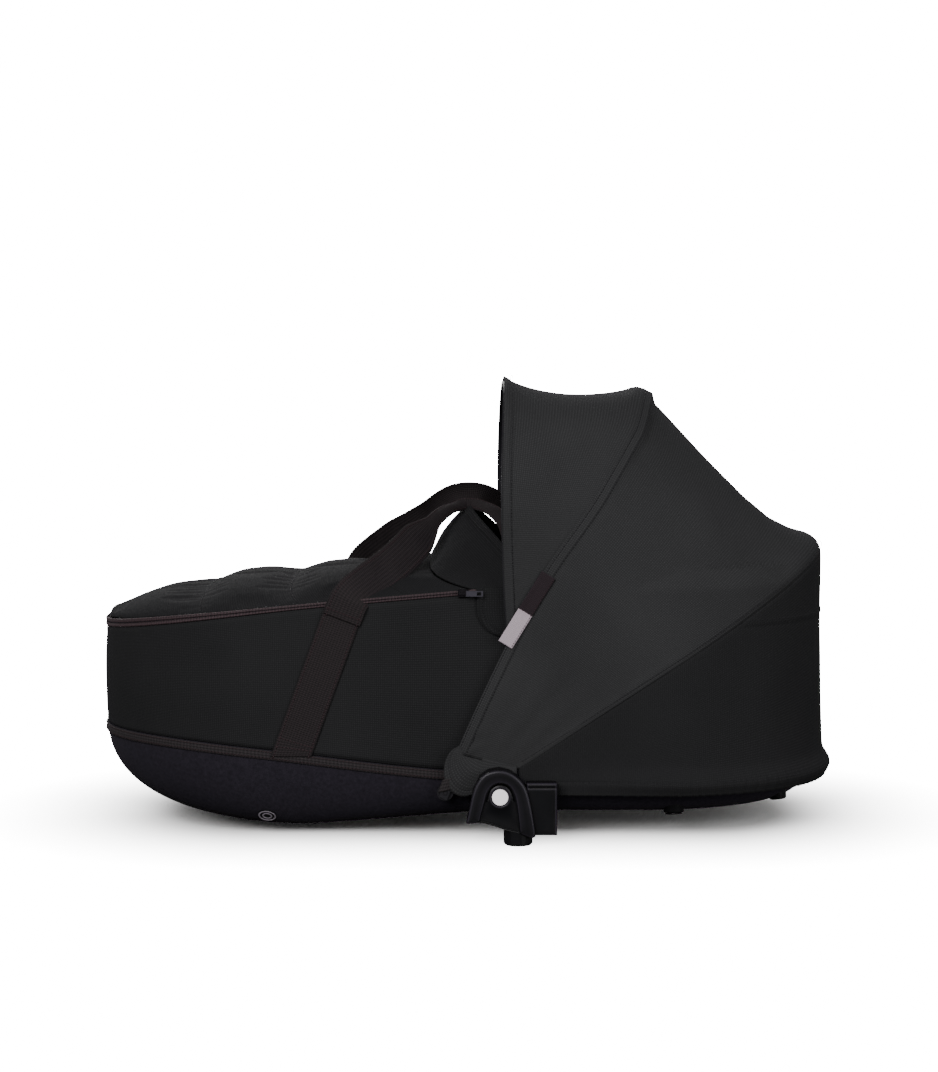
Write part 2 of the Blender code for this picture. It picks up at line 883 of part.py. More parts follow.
def make_pull(side):
    low_x, hang_y, middle_z = pull_place(1)
    low_x -= pull_thickness / 2
    outer = box_mesh("zip_pull", (low_x, hang_y - pull_thickness / 2, middle_z - pull_width / 2),
                     (low_x + pull_length, hang_y + pull_thickness / 2, middle_z + pull_width / 2))
    pull = bevel(sided("zip_pull", outer, side, zipper), pull_thickness / 3, 1)
    hole_low = low_x + pull_length - pull_thickness * 2 - pull_hole_length
    hole = box_mesh("pull_hole",
                    (hole_low, hang_y - cutter_overrun, middle_z - pull_hole_width / 2),
                    (hole_low + pull_hole_length, hang_y + cutter_overrun, middle_z + pull_hole_width / 2))
    combine(pull, as_cutter(sided("pull_hole", hole, side, zipper, cutters)), "DIFFERENCE")


# Straps and handles

def make_straps():
    inner_y = half_width + wall_bulge + gap
    run = ((strap_low_x, strap_low_z), (strap_seam_x, strap_seam_z), (strap_top_x, strap_top_z))
    for side in (1, -1):
        for end, name in ((-1, "strap_foot"), (1, "strap_head")):
            rows = []
            for step, (x, z) in enumerate(run):
                slope = Vector((run[max(0, step - 1)][0] - run[min(2, step + 1)][0],
                                run[min(2, step + 1)][1] - run[max(0, step - 1)][1])).normalized()
                half = webbing_width / 2
                if step == 0 or step == 2:
                    across = Vector((half / slope.y, 0))
                else:
                    across = Vector((slope.y, slope.x)) * half * strap_corner_share
                rows.append([Vector((end * (x + across.x * sign), inner_y, z - across.y * sign * -1))
                             for sign in (-1, 0, 1)])
            bm = bmesh.new()
            add_grid(bm, rows, False)
            made = sided(name, mesh_of(name, bm, body_middle), side, webbing)
            thicken(made, webbing_thickness, 1)
            flat_sided(made)


def handle_centre(share):
    reach = handle_hinge_y - handle_grip_y
    length = math.hypot(reach, handle_rise)
    leg = strap_top_x - handle_grip_half_length * handle_leg_lean_share
    side = -1 if share < 0.5 else 1
    along = 1 - abs(2 * share - 1)
    up = min(1.0, along / handle_leg_part_share)
    x = mix(strap_top_x, strap_top_x - leg, min(up, 1.0) ** handle_curve_share)
    if up >= 1.0:
        x = mix(strap_top_x - leg, 0.0, (along - handle_leg_part_share) / (1 - handle_leg_part_share))
    climb = 1 - (1 - up) ** handle_climb_power
    low = handle_start / length
    climb = mix(low, 1.0, climb)
    return Vector((side * x, handle_hinge_y - reach * climb, handle_hinge_z + handle_rise * climb))


def make_handles():
    reach = handle_hinge_y - handle_grip_y
    lean = Vector((0, -reach, handle_rise)).normalized()
    for side in (1, -1):
        rows = []
        for step in range(handle_steps + 1):
            share = step / handle_steps
            centre = handle_centre(share)
            ahead = handle_centre(min(1.0, share + 0.5 / handle_steps))
            behind = handle_centre(max(0.0, share - 0.5 / handle_steps))
            along = (ahead - behind).normalized()
            flat = lean.cross(Vector((1, 0, 0)))
            across = along.cross(flat).normalized()
            if across.dot(lean) < 0:
                across = -across
            level = smooth_step(handle_twist_start_share, 1.0, 1 - abs(2 * share - 1))
            across = across.lerp(Vector((0, 0, 1)), level).normalized()
            if step in (0, handle_steps):
                across = Vector((1, 0, 0)) * (1 if share < 0.5 else -1)
                across = -across
            width = mix(webbing_width * handle_end_width_share, handle_grip_width, level)
            rows.append([centre + across * width * sign / 2 for sign in handle_row_shares])
        bm = bmesh.new()
        add_grid(bm, rows, False)
        made = sided("handle", mesh_of("handle", bm, body_middle), side, webbing)
        thicken(made, handle_thickness, 0).modifiers["wall"].use_even_offset = False


# Canopy ribs

def arch_shares(arch_share, power):
    places = [((1 - arch_share) * step / leg_steps, 1.0) for step in range(leg_steps)]
    for step in range(arch_steps + 1):
        turn = math.pi / 2 * step / arch_steps
        places.append((1 - arch_share + arch_share * math.sin(turn) ** (2 / power),
                       max(0.0, math.cos(turn)) ** (2 / power)))
    return places


def rib_frame(pivot, crown):
    reach = Vector((crown[0] - pivot[0], 0, crown[1] - pivot[1]))
    along = reach.normalized()
    front = Vector((-along.z, 0, along.x))
    return Vector((pivot[0], 0, pivot[1])), along, front, reach.length - cloth_build


cloth_build = rib_thickness / 2 + cloth_lift + canopy_cloth
main_pivot = (main_pivot_x, main_pivot_z)
main_frame = rib_frame(main_pivot, (main_crown_x, main_crown_z))


def side_point(frame, share, bow):
    pivot, along, front, length = frame
    return pivot + along * length * share + front * bow * 4 * share * (1 - share)


visor_place = side_point(main_frame, visor_pivot_share, main_rib_bow)
visor_pivot = (visor_place.x, visor_place.z)
front_frame = rib_frame(visor_pivot, (front_crown_x, front_crown_z))


def rib_rows(frame, bow, layer_y, arch_height, power, lift, start_share, shift=0.0):
    pivot, along, front, length = frame
    grown = (pivot, along, front, length + lift)
    places = arch_shares(arch_height / (length + lift), power)
    first = (start_share, 1.0)
    places = [first] + [place for place in places if place[0] > start_share + rib_join_share]
    half = []
    for share, across in places:
        point = side_point(grown, share, bow) + front * shift
        half.append(Vector((point.x, (layer_y + lift) * across, point.z)))
    return half + [Vector((point.x, -point.y, point.z)) for point in reversed(half[:-1])]


def rib_solid(name, frame, bow, layer_y, arch_height, power, finish):
    pivot, along, front, length = frame
    start = -rib_end_beyond_pivot / length
    run = rib_rows(frame, bow, layer_y, arch_height, power, 0.0, start)
    rows = [[point + front * rib_width / 2 * sign for point in run] for sign in (1, -1)]
    return sheet(name, rows, rib_thickness, 0, finish, pivot)


def head_run(inset, start_x):
    ring = outline(inset)
    side = [point for point in ring[:len(ring) // 2] if point[0] > start_x]
    run = [(start_x, half_width - inset)] + list(reversed(side))
    return run + [(x, -y) for x, y in reversed(run)]


def make_ribs():
    main = rib_solid("main_rib", main_frame, main_rib_bow, main_layer_y, main_arch_height,
                     main_arch_power, plastic)
    front = rib_solid("front_rib", front_frame, front_rib_bow, front_layer_y, front_arch_height,
                      front_arch_power, plastic)
    run = [Vector((x, y, rear_rib_line(x))) for x, y in head_run(half_width - front_layer_y, rear_rib_x)]
    rows = [[], []]
    for index, point in enumerate(run):
        along = run[min(index + 1, len(run) - 1)] - run[max(index - 1, 0)]
        outward = Vector((along.y, -along.x, 0))
        across = along.cross(outward).normalized() * rib_width / 2
        if across.z < 0:
            across = -across
        rows[0].append(point + across)
        rows[1].append(point - across)
    rear = sheet("rear_rib", rows, rib_thickness, 0, plastic, body_middle)
    for side in (1, -1):
        for target, (x, z), name in ((main, main_pivot, "main_hole"), (main, visor_pivot, "visor_hole"),
                                     (front, visor_pivot, "front_hole")):
            rod = rod_mesh(name, Vector((x, half_width - cutter_overrun, z)),
                           Vector((x, main_layer_y + cutter_overrun, z)), pivot_hole_radius)
            combine(target, as_cutter(sided(name, rod, side, plastic, cutters)), "DIFFERENCE")
        rivet_place = rear_rivet_place()
        rod = rod_mesh("rear_hole", Vector((rivet_place[0], half_width - cutter_overrun, rivet_place[1])),
                       Vector((rivet_place[0], main_layer_y, rivet_place[1])), pivot_hole_radius)
        combine(rear, as_cutter(sided("rear_hole", rod, side, plastic, cutters)), "DIFFERENCE")


def rear_rivet_place():
    x = rear_rib_x + rib_end_beyond_pivot
    return (x, rear_rib_line(x))


def seat_on_base(made):
    for form in base_forms:
        combine(made, form, "DIFFERENCE")


def make_pivots():
    for side in (1, -1):
        x, z = visor_pivot
        inner = front_layer_y - rib_thickness / 2 - gap - pivot_head_thickness
        outer = main_layer_y + rib_thickness / 2
        start = Vector((x, inner, z))
        rod = rod_mesh("visor_pin", start, Vector((x, outer, z)), pivot_pin_radius)
        pin = sided("visor_pin", rod, side, steel)
        head = rod_mesh("visor_pin_head", start, start + Vector((0, pivot_head_thickness, 0)),
                        pivot_head_radius)
        combine(pin, as_cutter(sided("visor_pin_head", head, side, steel, cutters)), "UNION")

        x, z = main_pivot
        shoulder = main_layer_y - rib_thickness / 2 - gap
        rod = rod_mesh("canopy_hub", Vector((x, half_width - 2 * cutter_overrun, z)),
                       Vector((x, shoulder, z)), hub_radius)
        hub = sided("canopy_hub", rod, side, plastic)
        stud = rod_mesh("hub_stud", Vector((x, shoulder - pivot_head_thickness, z)),
                        Vector((x, outer, z)), pivot_pin_radius)
        combine(hub, as_cutter(sided("hub_stud", stud, side, plastic, cutters)), "UNION")
        seat_on_base(hub)

        x, z = rear_rivet_place()
        shoulder = front_layer_y - rib_thickness / 2 - gap
        rod = rod_mesh("rear_rivet", Vector((x, half_width - 2 * cutter_overrun, z)),
                       Vector((x, shoulder, z)), pivot_head_radius)
        rivet = sided("rear_rivet", rod, side, steel)
        stud = rod_mesh("rivet_stud", Vector((x, shoulder - pivot_head_thickness, z)),
                        Vector((x, front_layer_y + rib_thickness / 2, z)), pivot_pin_radius)
        combine(rivet, as_cutter(sided("rivet_stud", stud, side, steel, cutters)), "UNION")
        seat_on_base(rivet)


# Canopy cloth

def lengths_along(points):
    lengths = [0.0]
    for first, second in zip(points, points[1:]):
        lengths.append(lengths[-1] + (second - first).length)
    return lengths


# The points of one edge, spaced along it as those of another edge are
def spaced_like(points, pattern):
    lengths = lengths_along(points)
    wanted = lengths_along(pattern)
    run = []
    place = 0
    for length in wanted:
        goal = lengths[-1] * length / wanted[-1]
        while place < len(points) - 2 and lengths[place + 1] < goal:
            place += 1
        span = lengths[place + 1] - lengths[place]
        run.append(points[place].lerp(points[place + 1], (goal - lengths[place]) / span))
    return run


def outside_wall(point):
    least = width_in(outline(-panel_to_wall), point.x)
    if point.z < rim_height + panel_over_rim and abs(point.y) < least:
        return Vector((point.x, math.copysign(least, point.y), point.z))
    return point


def between(first, second, sag, sag_centre, rows):
    made = []
    for row in range(rows + 1):
        share = row / rows
        line = []
        for a, b in zip(first, second):
            point = a.lerp(b, share)
            inward = Vector((sag_centre.x - point.x, 0, sag_centre.z - point.z)).normalized()
            top = 1 - min(1.0, abs(point.y) / main_layer_y) ** sag_side_power
            width = min(1.0, (b - a).length / sag_full_width)
            along = (4 * share * (1 - share)) ** sag_along_power
            line.append(outside_wall(point + inward * sag * top * width * along))
        made.append(line)
    return made


def make_panels():
    lift = rib_thickness / 2 + cloth_lift
    main_line, behind = [rib_rows(main_frame, main_rib_bow, main_layer_y, main_arch_height,
                                  main_arch_power, lift, panel_low_share, shift)
                         for shift in (main_front_overhang, -main_back_cover)]
    rear_inset = half_width - front_layer_y - lift
    rear_line = [Vector((x, y, rear_rib_line(x) + skirt_above_rib + panel_joint_gap))
                 for x, y in head_run(rear_inset, skirt_start_x)]
    pivot = Vector((main_pivot_x, 0, main_pivot_z))
    rows = between(behind, spaced_like(rear_line, behind), main_sag, pivot, panel_rows)
    rows.insert(0, main_line)
    sheet("main_panel", rows, canopy_cloth, 1, cloth, pivot)

    visor_start = visor_pivot_share + visor_low_share
    upper = rib_rows(main_frame, main_rib_bow, main_layer_y, main_arch_height, main_arch_power,
                     lift, visor_start, main_front_overhang + panel_joint_gap)
    front_lift = main_layer_y - front_layer_y + lift
    front_line = rib_rows(front_frame, front_rib_bow, front_layer_y, front_arch_height,
                          front_arch_power, front_lift, visor_low_share, visor_front_overhang)
    rows = between(front_line, spaced_like(upper, front_line), visor_sag, pivot, panel_rows - 1)
    sheet("visor_panel", rows, canopy_cloth, 1, cloth, pivot)


def make_skirt():
    inset = half_width - front_layer_y - rib_thickness / 2 - cloth_lift
    rows = []
    for row in range(skirt_rows + 1):
        share = (row / skirt_rows) ** skirt_row_power
        line = []
        for x, y in head_run(inset, skirt_start_x):
            hem = mix(skirt_hem_side_z, skirt_hem_head_z, smooth_step(skirt_hem_fall_start, head_end, x))
            top = rear_rib_line(x) + skirt_above_rib
            z = mix(top, hem, share)
            flare = skirt_flare * max(0.0, 1 - (z - hem) / skirt_flare_height) ** skirt_flare_power
            wide = smooth_step(skirt_start_x, skirt_hem_fall_start, x)
            out = 1 + flare * wide / half_width
            line.append(Vector((x + flare * smooth_step(skirt_hem_fall_start, head_end, x),
                                y * out, z)))
        rows.append(line)
    sheet("skirt", rows, canopy_cloth, 1, skirt_cloth, body_middle)


def make_pockets():
    lift = rib_thickness / 2 + cloth_lift
    pivot, along, front, length = main_frame
    for side in (1, -1):
        rows = []
        for share in (pocket_high_share, (pocket_high_share + pocket_low_share) / 2, pocket_low_share):
            centre = side_point(main_frame, share, main_rib_bow)
            rows.append([Vector((centre.x, main_layer_y + lift, centre.z)) + front * pocket_width / 2 * sign
                         for sign in (-1, 0, 1)])
        bm = bmesh.new()
        add_grid(bm, rows, False)
        made = sided("rib_pocket", mesh_of("rib_pocket", bm, body_middle), side, cloth)
        flat_sided(thicken(made, canopy_cloth, 1))


def make_tag():
    outer_y = main_layer_y + rib_thickness / 2 + cloth_lift + canopy_cloth + gap
    along = Vector((math.cos(tag_angle), math.sin(tag_angle)))
    across = Vector((-along.y, along.x))
    points = []
    for up, over in ((-1, -1), (1, -1), (1, 1), (-1, 1)):
        corner = Vector((tag_x, tag_z)) + along * tag_length / 2 * up + across * tag_width / 2 * over
        points.append((corner.x, corner.y))
    mesh = mirror_mesh(plate_mesh("label_tag", points, outer_y, outer_y + tag_thickness), -1)
    flat_sided(add_object("label_tag", mesh, tag_cloth, parts))


# Adapters

def arch_points(shares):
    return [(arch_left_x + arch_width * across, arch_low_z + arch_height * up) for across, up in shares]


def make_adapter(side):
    plate = plate_mesh("adapter_housing", arch_points(arch_outline_shares), arch_inner_y, arch_outer_y)
    housing = bevel(sided("adapter_housing", plate, side, plastic), arch_bevel, 2)

    def tool(name, mesh, operation):
        made = as_cutter(sided(name, mesh, side, plastic, cutters))
        combine(housing, made, operation)
        return made

    block = tool("adapter_block", box_mesh("adapter_block", (block_low_x, block_inner_y, block_low_z),
                                           (block_high_x, block_outer_y, block_high_z)), "UNION")
    bevel(block, block_bevel, 2)
    peg = rod_mesh("adapter_peg", Vector((peg_x, peg_y, 0)), Vector((peg_x, peg_y, peg_top_z)), peg_radius)
    peg_tool = tool("adapter_peg", peg, "UNION")
    bevel(peg_tool, peg_lead_in, 1)
    lug = tool("adapter_lug", box_mesh("adapter_lug", (lug_low_x, lug_inner_y, lug_low_z),
                                       (lug_high_x, arch_inner_y + lug_overlap, lug_high_z)), "UNION")
    seat_on_base(lug)
    tool("adapter_recess", plate_mesh("adapter_recess", arch_points(recess_outline_shares),
                                      arch_outer_y - arch_recess_depth, arch_outer_y + cutter_overrun),
         "DIFFERENCE")
    groove = box_mesh("block_groove",
                      (block_low_x + block_groove_inset, block_outer_y - block_groove_depth, block_groove_z),
                      (block_high_x + cutter_overrun, block_outer_y + cutter_overrun,
                       block_groove_z + block_groove_height))
    tool("block_groove", groove, "DIFFERENCE")
    tool("mechanism_chamber", box_mesh("mechanism_chamber",
                                       (chamber_low_x, chamber_inner_y, chamber_low_z),
                                       (chamber_high_x, chamber_outer_y, chamber_high_z)), "DIFFERENCE")
    bore = rod_mesh("peg_bore", Vector((peg_x, peg_y, -cutter_overrun)),
                    Vector((peg_x, peg_y, chamber_low_z + gap)), peg_bore_radius)
    tool("peg_bore", bore, "DIFFERENCE")
    half = hook_half_width + slot_clearance
    tool("hook_slot", box_mesh("hook_slot", (peg_x - half, peg_y - peg_radius - cutter_overrun, slot_low_z),
                               (peg_x + half, peg_y, slot_high_z)), "DIFFERENCE")
    hole = rod_mesh("button_hole", Vector((button_x, chamber_outer_y - gap, button_z)),
                    Vector((button_x, arch_outer_y + cutter_overrun, button_z)),
                    button_radius + button_clearance)
    tool("button_hole", hole, "DIFFERENCE")


def make_mechanism(side):
    face = Vector((button_x, button_face_y, button_z))
    back = face - Vector((0, button_head_depth, 0))
    head = rod_mesh("release_button", back, face, button_radius)
    button = bevel(sided("release_button", head, side, white), button_dome, 2)
    lever_face = lever_pivot_y + lever_thickness / 2
    stem = rod_mesh("button_stem", Vector((button_x, lever_face + gap, button_z)),
                    back + Vector((0, button_head_depth / 2, 0)),
                    button_stem_tip_radius, button_stem_radius)
    combine(button, as_cutter(sided("button_stem", stem, side, white, cutters)), "UNION")

    high_x = peg_x + hook_half_width
    barrel = rod_mesh("latch_lever", Vector((lever_low_x, lever_pivot_y, lever_pivot_z)),
                      Vector((high_x, lever_pivot_y, lever_pivot_z)), lever_barrel_radius)
    lever = sided("latch_lever", barrel, side, plastic)
    arms = (("lever_upper_arm", (lever_low_x, lever_pivot_y - lever_thickness / 2, lever_pivot_z),
             (lever_low_x + lever_arm_width, lever_face, lever_top_z)),
            ("lever_lower_arm", (peg_x - hook_half_width, lower_arm_y - lever_thickness / 2, hook_low_z),
             (high_x, lower_arm_y + lever_thickness / 2, lever_pivot_z)),
            ("lever_hook", (peg_x - hook_half_width, hook_tip_y, hook_low_z),
             (high_x, lower_arm_y, hook_low_z + hook_height)))
    for name, low, high in arms:
        combine(lever, as_cutter(sided(name, box_mesh(name, low, high), side, plastic, cutters)), "UNION")
    start = Vector((chamber_low_x - latch_pin_radius, lever_pivot_y, lever_pivot_z))
    end = Vector((chamber_high_x + latch_pin_radius, lever_pivot_y, lever_pivot_z))
    hole = rod_mesh("lever_hole", start, end, latch_pin_radius + latch_pin_clearance)
    combine(lever, as_cutter(sided("lever_hole", hole, side, plastic, cutters)), "DIFFERENCE")
    inner_start = Vector((chamber_low_x + gap, lever_pivot_y, lever_pivot_z))
    inner_end = Vector((chamber_high_x - gap, lever_pivot_y, lever_pivot_z))
    sided("latch_pin", rod_mesh("latch_pin", inner_start, inner_end, latch_pin_radius), side, steel)

    low_y = chamber_inner_y + gap + spring_wire_radius
    high_y = lever_pivot_y - lever_thickness / 2 - gap - spring_wire_radius
    points = []
    total = spring_turns * spring_points_per_turn
    for step in range(total + 1):
        turn = 2 * math.pi * step / spring_points_per_turn
        points.append(Vector((button_x + spring_radius * math.cos(turn), mix(low_y, high_y, step / total),
                              button_z + spring_radius * math.sin(turn))))
    sided("button_spring", mesh_from_curve("button_spring", points, spring_wire_radius, 0, False),
          side, steel)


# Feet

def foot_place(x, angle):
    plan = outline(0.0)
    share = shell_foot_inset / -foot_end if x < 0 else shell_head_inset / head_end
    pull = 1 - math.cos(angle) ** (2 / shell_power)
    source_x = x / (1 - share * pull)
    wide = width_in(plan, source_x)
    here = shell_point(source_x, wide, angle, 0.0)
    lower = shell_point(source_x, wide, angle + probe_angle, 0.0)
    ahead_x = source_x + disc_radius
    ahead = shell_point(ahead_x, width_in(plan, ahead_x), angle, 0.0)
    normal = (lower - here).cross(ahead - here).normalized()
    if normal.z > 0:
        normal = -normal
    return here, normal


def make_feet():
    kinds = (("base_disc", disc_x, disc_angle, disc_radius, disc_proud),
             ("rear_foot", foot_x, foot_angle, foot_radius, foot_proud),
             ("end_foot", end_foot_x, end_foot_angle, end_foot_radius, end_foot_proud))
    for side in (1, -1):
        for name, x, angle, radius, proud in kinds:
            place, normal = foot_place(x, angle)
            share = 1.0
            if name != "base_disc":
                share = foot_taper_share
                normal = normal.lerp(Vector((0, 0, -1)), foot_upright_share).normalized()
            rod = rod_mesh(name, place - normal * foot_depth, place + normal * proud, radius, radius * share)
            foot = sided(name, rod, side, plastic)
            bevel(foot, min(foot_bevel, proud * foot_bevel_share), 1)
            combine(foot, base_forms[0], "DIFFERENCE")


clear_scene()
parts = bpy.data.collections.new("carrycot")
cutters = bpy.data.collections.new("cutters")
bpy.context.scene.collection.children.link(parts)
bpy.context.scene.collection.children.link(cutters)
body_middle = Vector(((foot_end + head_end) / 2, 0, rim_height / 2))

felt = finish_of("moulded felt", felt_hex, 0.92)
cloth = finish_of("canopy cloth", cloth_hex, 0.85)
skirt_cloth = finish_of("skirt cloth", skirt_hex, 0.85)
quilt = finish_of("quilted cloth", apron_hex, 0.85)
webbing = finish_of("webbing", webbing_hex, 0.8)
tape = finish_of("zip tape", zip_hex, 0.7)
zipper = finish_of("zip metal", plastic_hex, 0.4, 1.0)
plastic = finish_of("moulded plastic", plastic_hex, 0.45)
white = finish_of("white plastic", button_hex, 0.4)
steel = finish_of("steel", steel_hex, 0.35, 1.0)
lining = finish_of("lining cloth", lining_hex, 0.9)
foam = finish_of("foam", lining_hex, 0.95)
board = finish_of("floor board", board_hex, 0.8)
tag_cloth = finish_of("tag cloth", tag_hex, 0.7)

make_base()
base_forms = make_base_cutter()
make_floor()
make_walls()
make_mattress()
make_zip()
make_apron()
make_flap()
make_sliders()
make_straps()
make_handles()
make_ribs()
make_pivots()
make_panels()
make_skirt()
make_pockets()
make_tag()
for side in (1, -1):
    make_adapter(side)
    make_mechanism(side)
make_feet()

# Each moving piece has its origin on its own axis
hang_on(Vector((main_pivot_x, 0, main_pivot_z)), "main_rib", "visor_panel", "label_tag",
        "visor_pin_left", "visor_pin_right", "rib_pocket_left", "rib_pocket_right")
hang_on(Vector((visor_pivot[0], 0, visor_pivot[1])), "front_rib")
hang_on(Vector((flap_hinge_x, 0, flap_hinge_z)), "wind_flap")
for side in (1, -1):
    hang_on(Vector((0, side * handle_hinge_y, handle_hinge_z)), side_name("handle", side))
    hang_on(Vector((slider_x, side * half_width, rim_line(slider_x) + zip_height_side / 2)),
            side_name("zip_slider", side))
    hang_on(pull_place(side), side_name("zip_pull", side))
    hang_on(Vector((button_x, side * button_face_y, button_z)), side_name("release_button", side))
    hang_on(Vector((button_x, side * lever_pivot_y, lever_pivot_z)), side_name("latch_lever", side))
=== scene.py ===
import json
import math

import bpy
import numpy as np
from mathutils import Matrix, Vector

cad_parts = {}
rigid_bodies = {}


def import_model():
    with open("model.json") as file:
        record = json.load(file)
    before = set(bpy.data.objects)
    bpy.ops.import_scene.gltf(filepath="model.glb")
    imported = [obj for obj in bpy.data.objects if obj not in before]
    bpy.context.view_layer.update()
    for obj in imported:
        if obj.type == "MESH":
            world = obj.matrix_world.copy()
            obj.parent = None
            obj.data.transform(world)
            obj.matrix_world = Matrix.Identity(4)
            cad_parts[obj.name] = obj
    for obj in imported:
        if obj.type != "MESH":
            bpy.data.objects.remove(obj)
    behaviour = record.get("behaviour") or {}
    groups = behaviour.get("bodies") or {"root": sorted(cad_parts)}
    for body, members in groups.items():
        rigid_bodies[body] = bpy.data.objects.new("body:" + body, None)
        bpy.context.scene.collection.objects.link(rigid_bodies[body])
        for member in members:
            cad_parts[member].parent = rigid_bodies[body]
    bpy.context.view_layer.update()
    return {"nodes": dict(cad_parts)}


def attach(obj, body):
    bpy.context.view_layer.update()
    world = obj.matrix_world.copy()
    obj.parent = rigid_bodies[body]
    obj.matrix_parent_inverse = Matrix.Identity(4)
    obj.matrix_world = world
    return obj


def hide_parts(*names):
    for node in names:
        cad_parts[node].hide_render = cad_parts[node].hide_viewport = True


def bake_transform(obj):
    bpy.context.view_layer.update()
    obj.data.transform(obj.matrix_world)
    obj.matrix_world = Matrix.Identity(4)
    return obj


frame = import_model()
print("frame loaded,", len(frame["nodes"]), "nodes")

# Carrycot seen from its right side. Metres, +X is the head end, +Z is up, the camera looks along +Y.
# Every surface is worked out as a grid of points in numpy, then made a mesh with its own UV map in metres,
# so that weaves and stitches run along the cloth.
sides = ((1, "left"), (-1, "right"))


def mix(a, b, share):
    return a + (b - a) * share


def ease(start, end, value):
    share = np.clip((np.asarray(value, float) - start) / (end - start), 0, 1)
    return share * share * (3 - 2 * share)


def bump(value, centre, width):
    return np.exp(-((np.asarray(value, float) - centre) / width) ** 2)


def ripple(points, size, seed):
    # soft seeded noise in -1..1, from a few sine waves in random directions
    rng = np.random.default_rng(seed)
    total = np.zeros(points.shape[:-1])
    for _ in range(7):
        way = rng.normal(size=3)
        way *= rng.uniform(0.6, 1.5) / np.linalg.norm(way) * 2 * math.pi / size
        total += np.sin(points @ way + rng.uniform(0, 2 * math.pi))
    return total / 4


def lengthsAlong(line):
    steps = np.linalg.norm(np.diff(line, axis=0), axis=1)
    return np.concatenate([[0], np.cumsum(steps)])


def evenly(line, count):
    lengths = lengthsAlong(line)
    wanted = np.linspace(0, lengths[-1], count)
    return np.stack([np.interp(wanted, lengths, line[:, axis]) for axis in range(line.shape[1])], axis=1)


def smoothLine(points, count, rounds=3):
    # rounds off the corners of a few drawn points, and spaces them evenly
    line = np.array(points, float)
    for _ in range(rounds):
        near = line[:-1] * 0.75 + line[1:] * 0.25
        far = line[:-1] * 0.25 + line[1:] * 0.75
        line = np.concatenate([line[:1], np.stack([near, far], 1).reshape(-1, line.shape[1]), line[-1:]])
    return evenly(line, count)


def normalsOf(grid, wrap=False):
    # outward way of each point of a grid of points, from its neighbours
    down = np.gradient(grid, axis=0)
    if wrap:
        wide = np.concatenate([grid[:, -1:], grid, grid[:, :1]], axis=1)
        along = (wide[:, 2:] - wide[:, :-2]) / 2
    else:
        along = np.gradient(grid, axis=1)
    normal = np.cross(along, down)
    return normal / np.maximum(np.linalg.norm(normal, axis=2, keepdims=True), 1e-9)


def outward(grid, centre, wrap=False):
    normal = normalsOf(grid, wrap)
    if np.sum(normal * (grid - np.asarray(centre))) < 0:
        normal = -normal
    return normal


def linear(hexText):
    values = [int(hexText[i:i + 2], 16) / 255 for i in (0, 2, 4)]
    return (*[v / 12.92 if v <= 0.04045 else ((v + 0.055) / 1.055) ** 2.4 for v in values], 1.0)


def gridPiece(name, grid, centre, material, wrap=False, capLast=False):
    # a mesh from rows of points, faces turned away from centre, UV map in metres along rows and columns
    rows, columns = grid.shape[:2]
    index = np.arange(rows * columns).reshape(rows, columns)
    if wrap:
        index = np.concatenate([index, index[:, :1]], axis=1)
    a, b, c, d = index[:-1, :-1], index[:-1, 1:], index[1:, 1:], index[1:, :-1]
    faces = np.stack([a, b, c, d], axis=2).reshape(-1, 4)
    across = np.linalg.norm(np.diff(grid, axis=1), axis=2).mean(0)
    down = np.linalg.norm(np.diff(grid, axis=0), axis=2).mean(1)
    u = np.concatenate([[0], np.cumsum(across)])
    if wrap:
        u = np.append(u, u[-1] + across.mean())
    v = np.concatenate([[0], np.cumsum(down)])
    corners = np.stack(np.meshgrid(np.arange(rows - 1), np.arange(index.shape[1] - 1), indexing="ij"), 2)
    corners = corners.reshape(-1, 2)
    uv = np.stack([np.stack([u[corners[:, 1] + j], v[corners[:, 0] + i]], 1)
                   for i, j in ((0, 0), (0, 1), (1, 1), (1, 0))], 1)
    normal = normalsOf(grid, wrap)
    turned = np.sum(normal * (grid - np.asarray(centre))) < 0
    # from_pydata faces a, b, c, d point along (b - a) x (d - a), which is along x down
    if turned:
        faces = faces[:, ::-1]
        uv = uv[:, ::-1]
    faceList = faces.tolist()
    uvList = uv.reshape(-1, 2)
    if capLast:
        last = index[-1, :columns].tolist()
        half = columns // 2
        extra = []
        for i in range(half - 1):
            quad = [last[i], last[i + 1], last[columns - i - 2], last[columns - i - 1]]
            extra.append(quad if turned else quad[::-1])
        flat = grid.reshape(-1, 3)
        faceList += extra
        uvList = np.concatenate([uvList, flat[np.array(extra).ravel()][:, :2]])
    mesh = bpy.data.meshes.new(name)
    mesh.from_pydata(grid.reshape(-1, 3).tolist(), [], faceList)
    layer = mesh.uv_layers.new(name="cloth")
    layer.data.foreach_set("uv", uvList.ravel())
    mesh.shade_smooth()
    mesh.materials.append(material)
    piece = bpy.data.objects.new(name, mesh)
    bpy.context.scene.collection.objects.link(piece)
    return piece


def thicken(piece, thickness, side=-1):
    step = piece.modifiers.new("wall", "SOLIDIFY")
    step.thickness = thickness
    step.offset = side
    step.use_even_offset = False
    return piece


def subdivide(piece, levels=1):
    step = piece.modifiers.new("smooth", "SUBSURF")
    step.levels = levels
    step.render_levels = levels
    return piece


def settle(piece):
    # applies the modifiers
    bpy.context.view_layer.update()
    shown = piece.evaluated_get(bpy.context.evaluated_depsgraph_get())
    mesh = bpy.data.meshes.new_from_object(shown, preserve_all_data_layers=True,
                                           depsgraph=bpy.context.evaluated_depsgraph_get())
    piece.modifiers.clear()
    old = piece.data
    piece.data = mesh
    bpy.data.meshes.remove(old)
    mesh.name = piece.name
    return piece


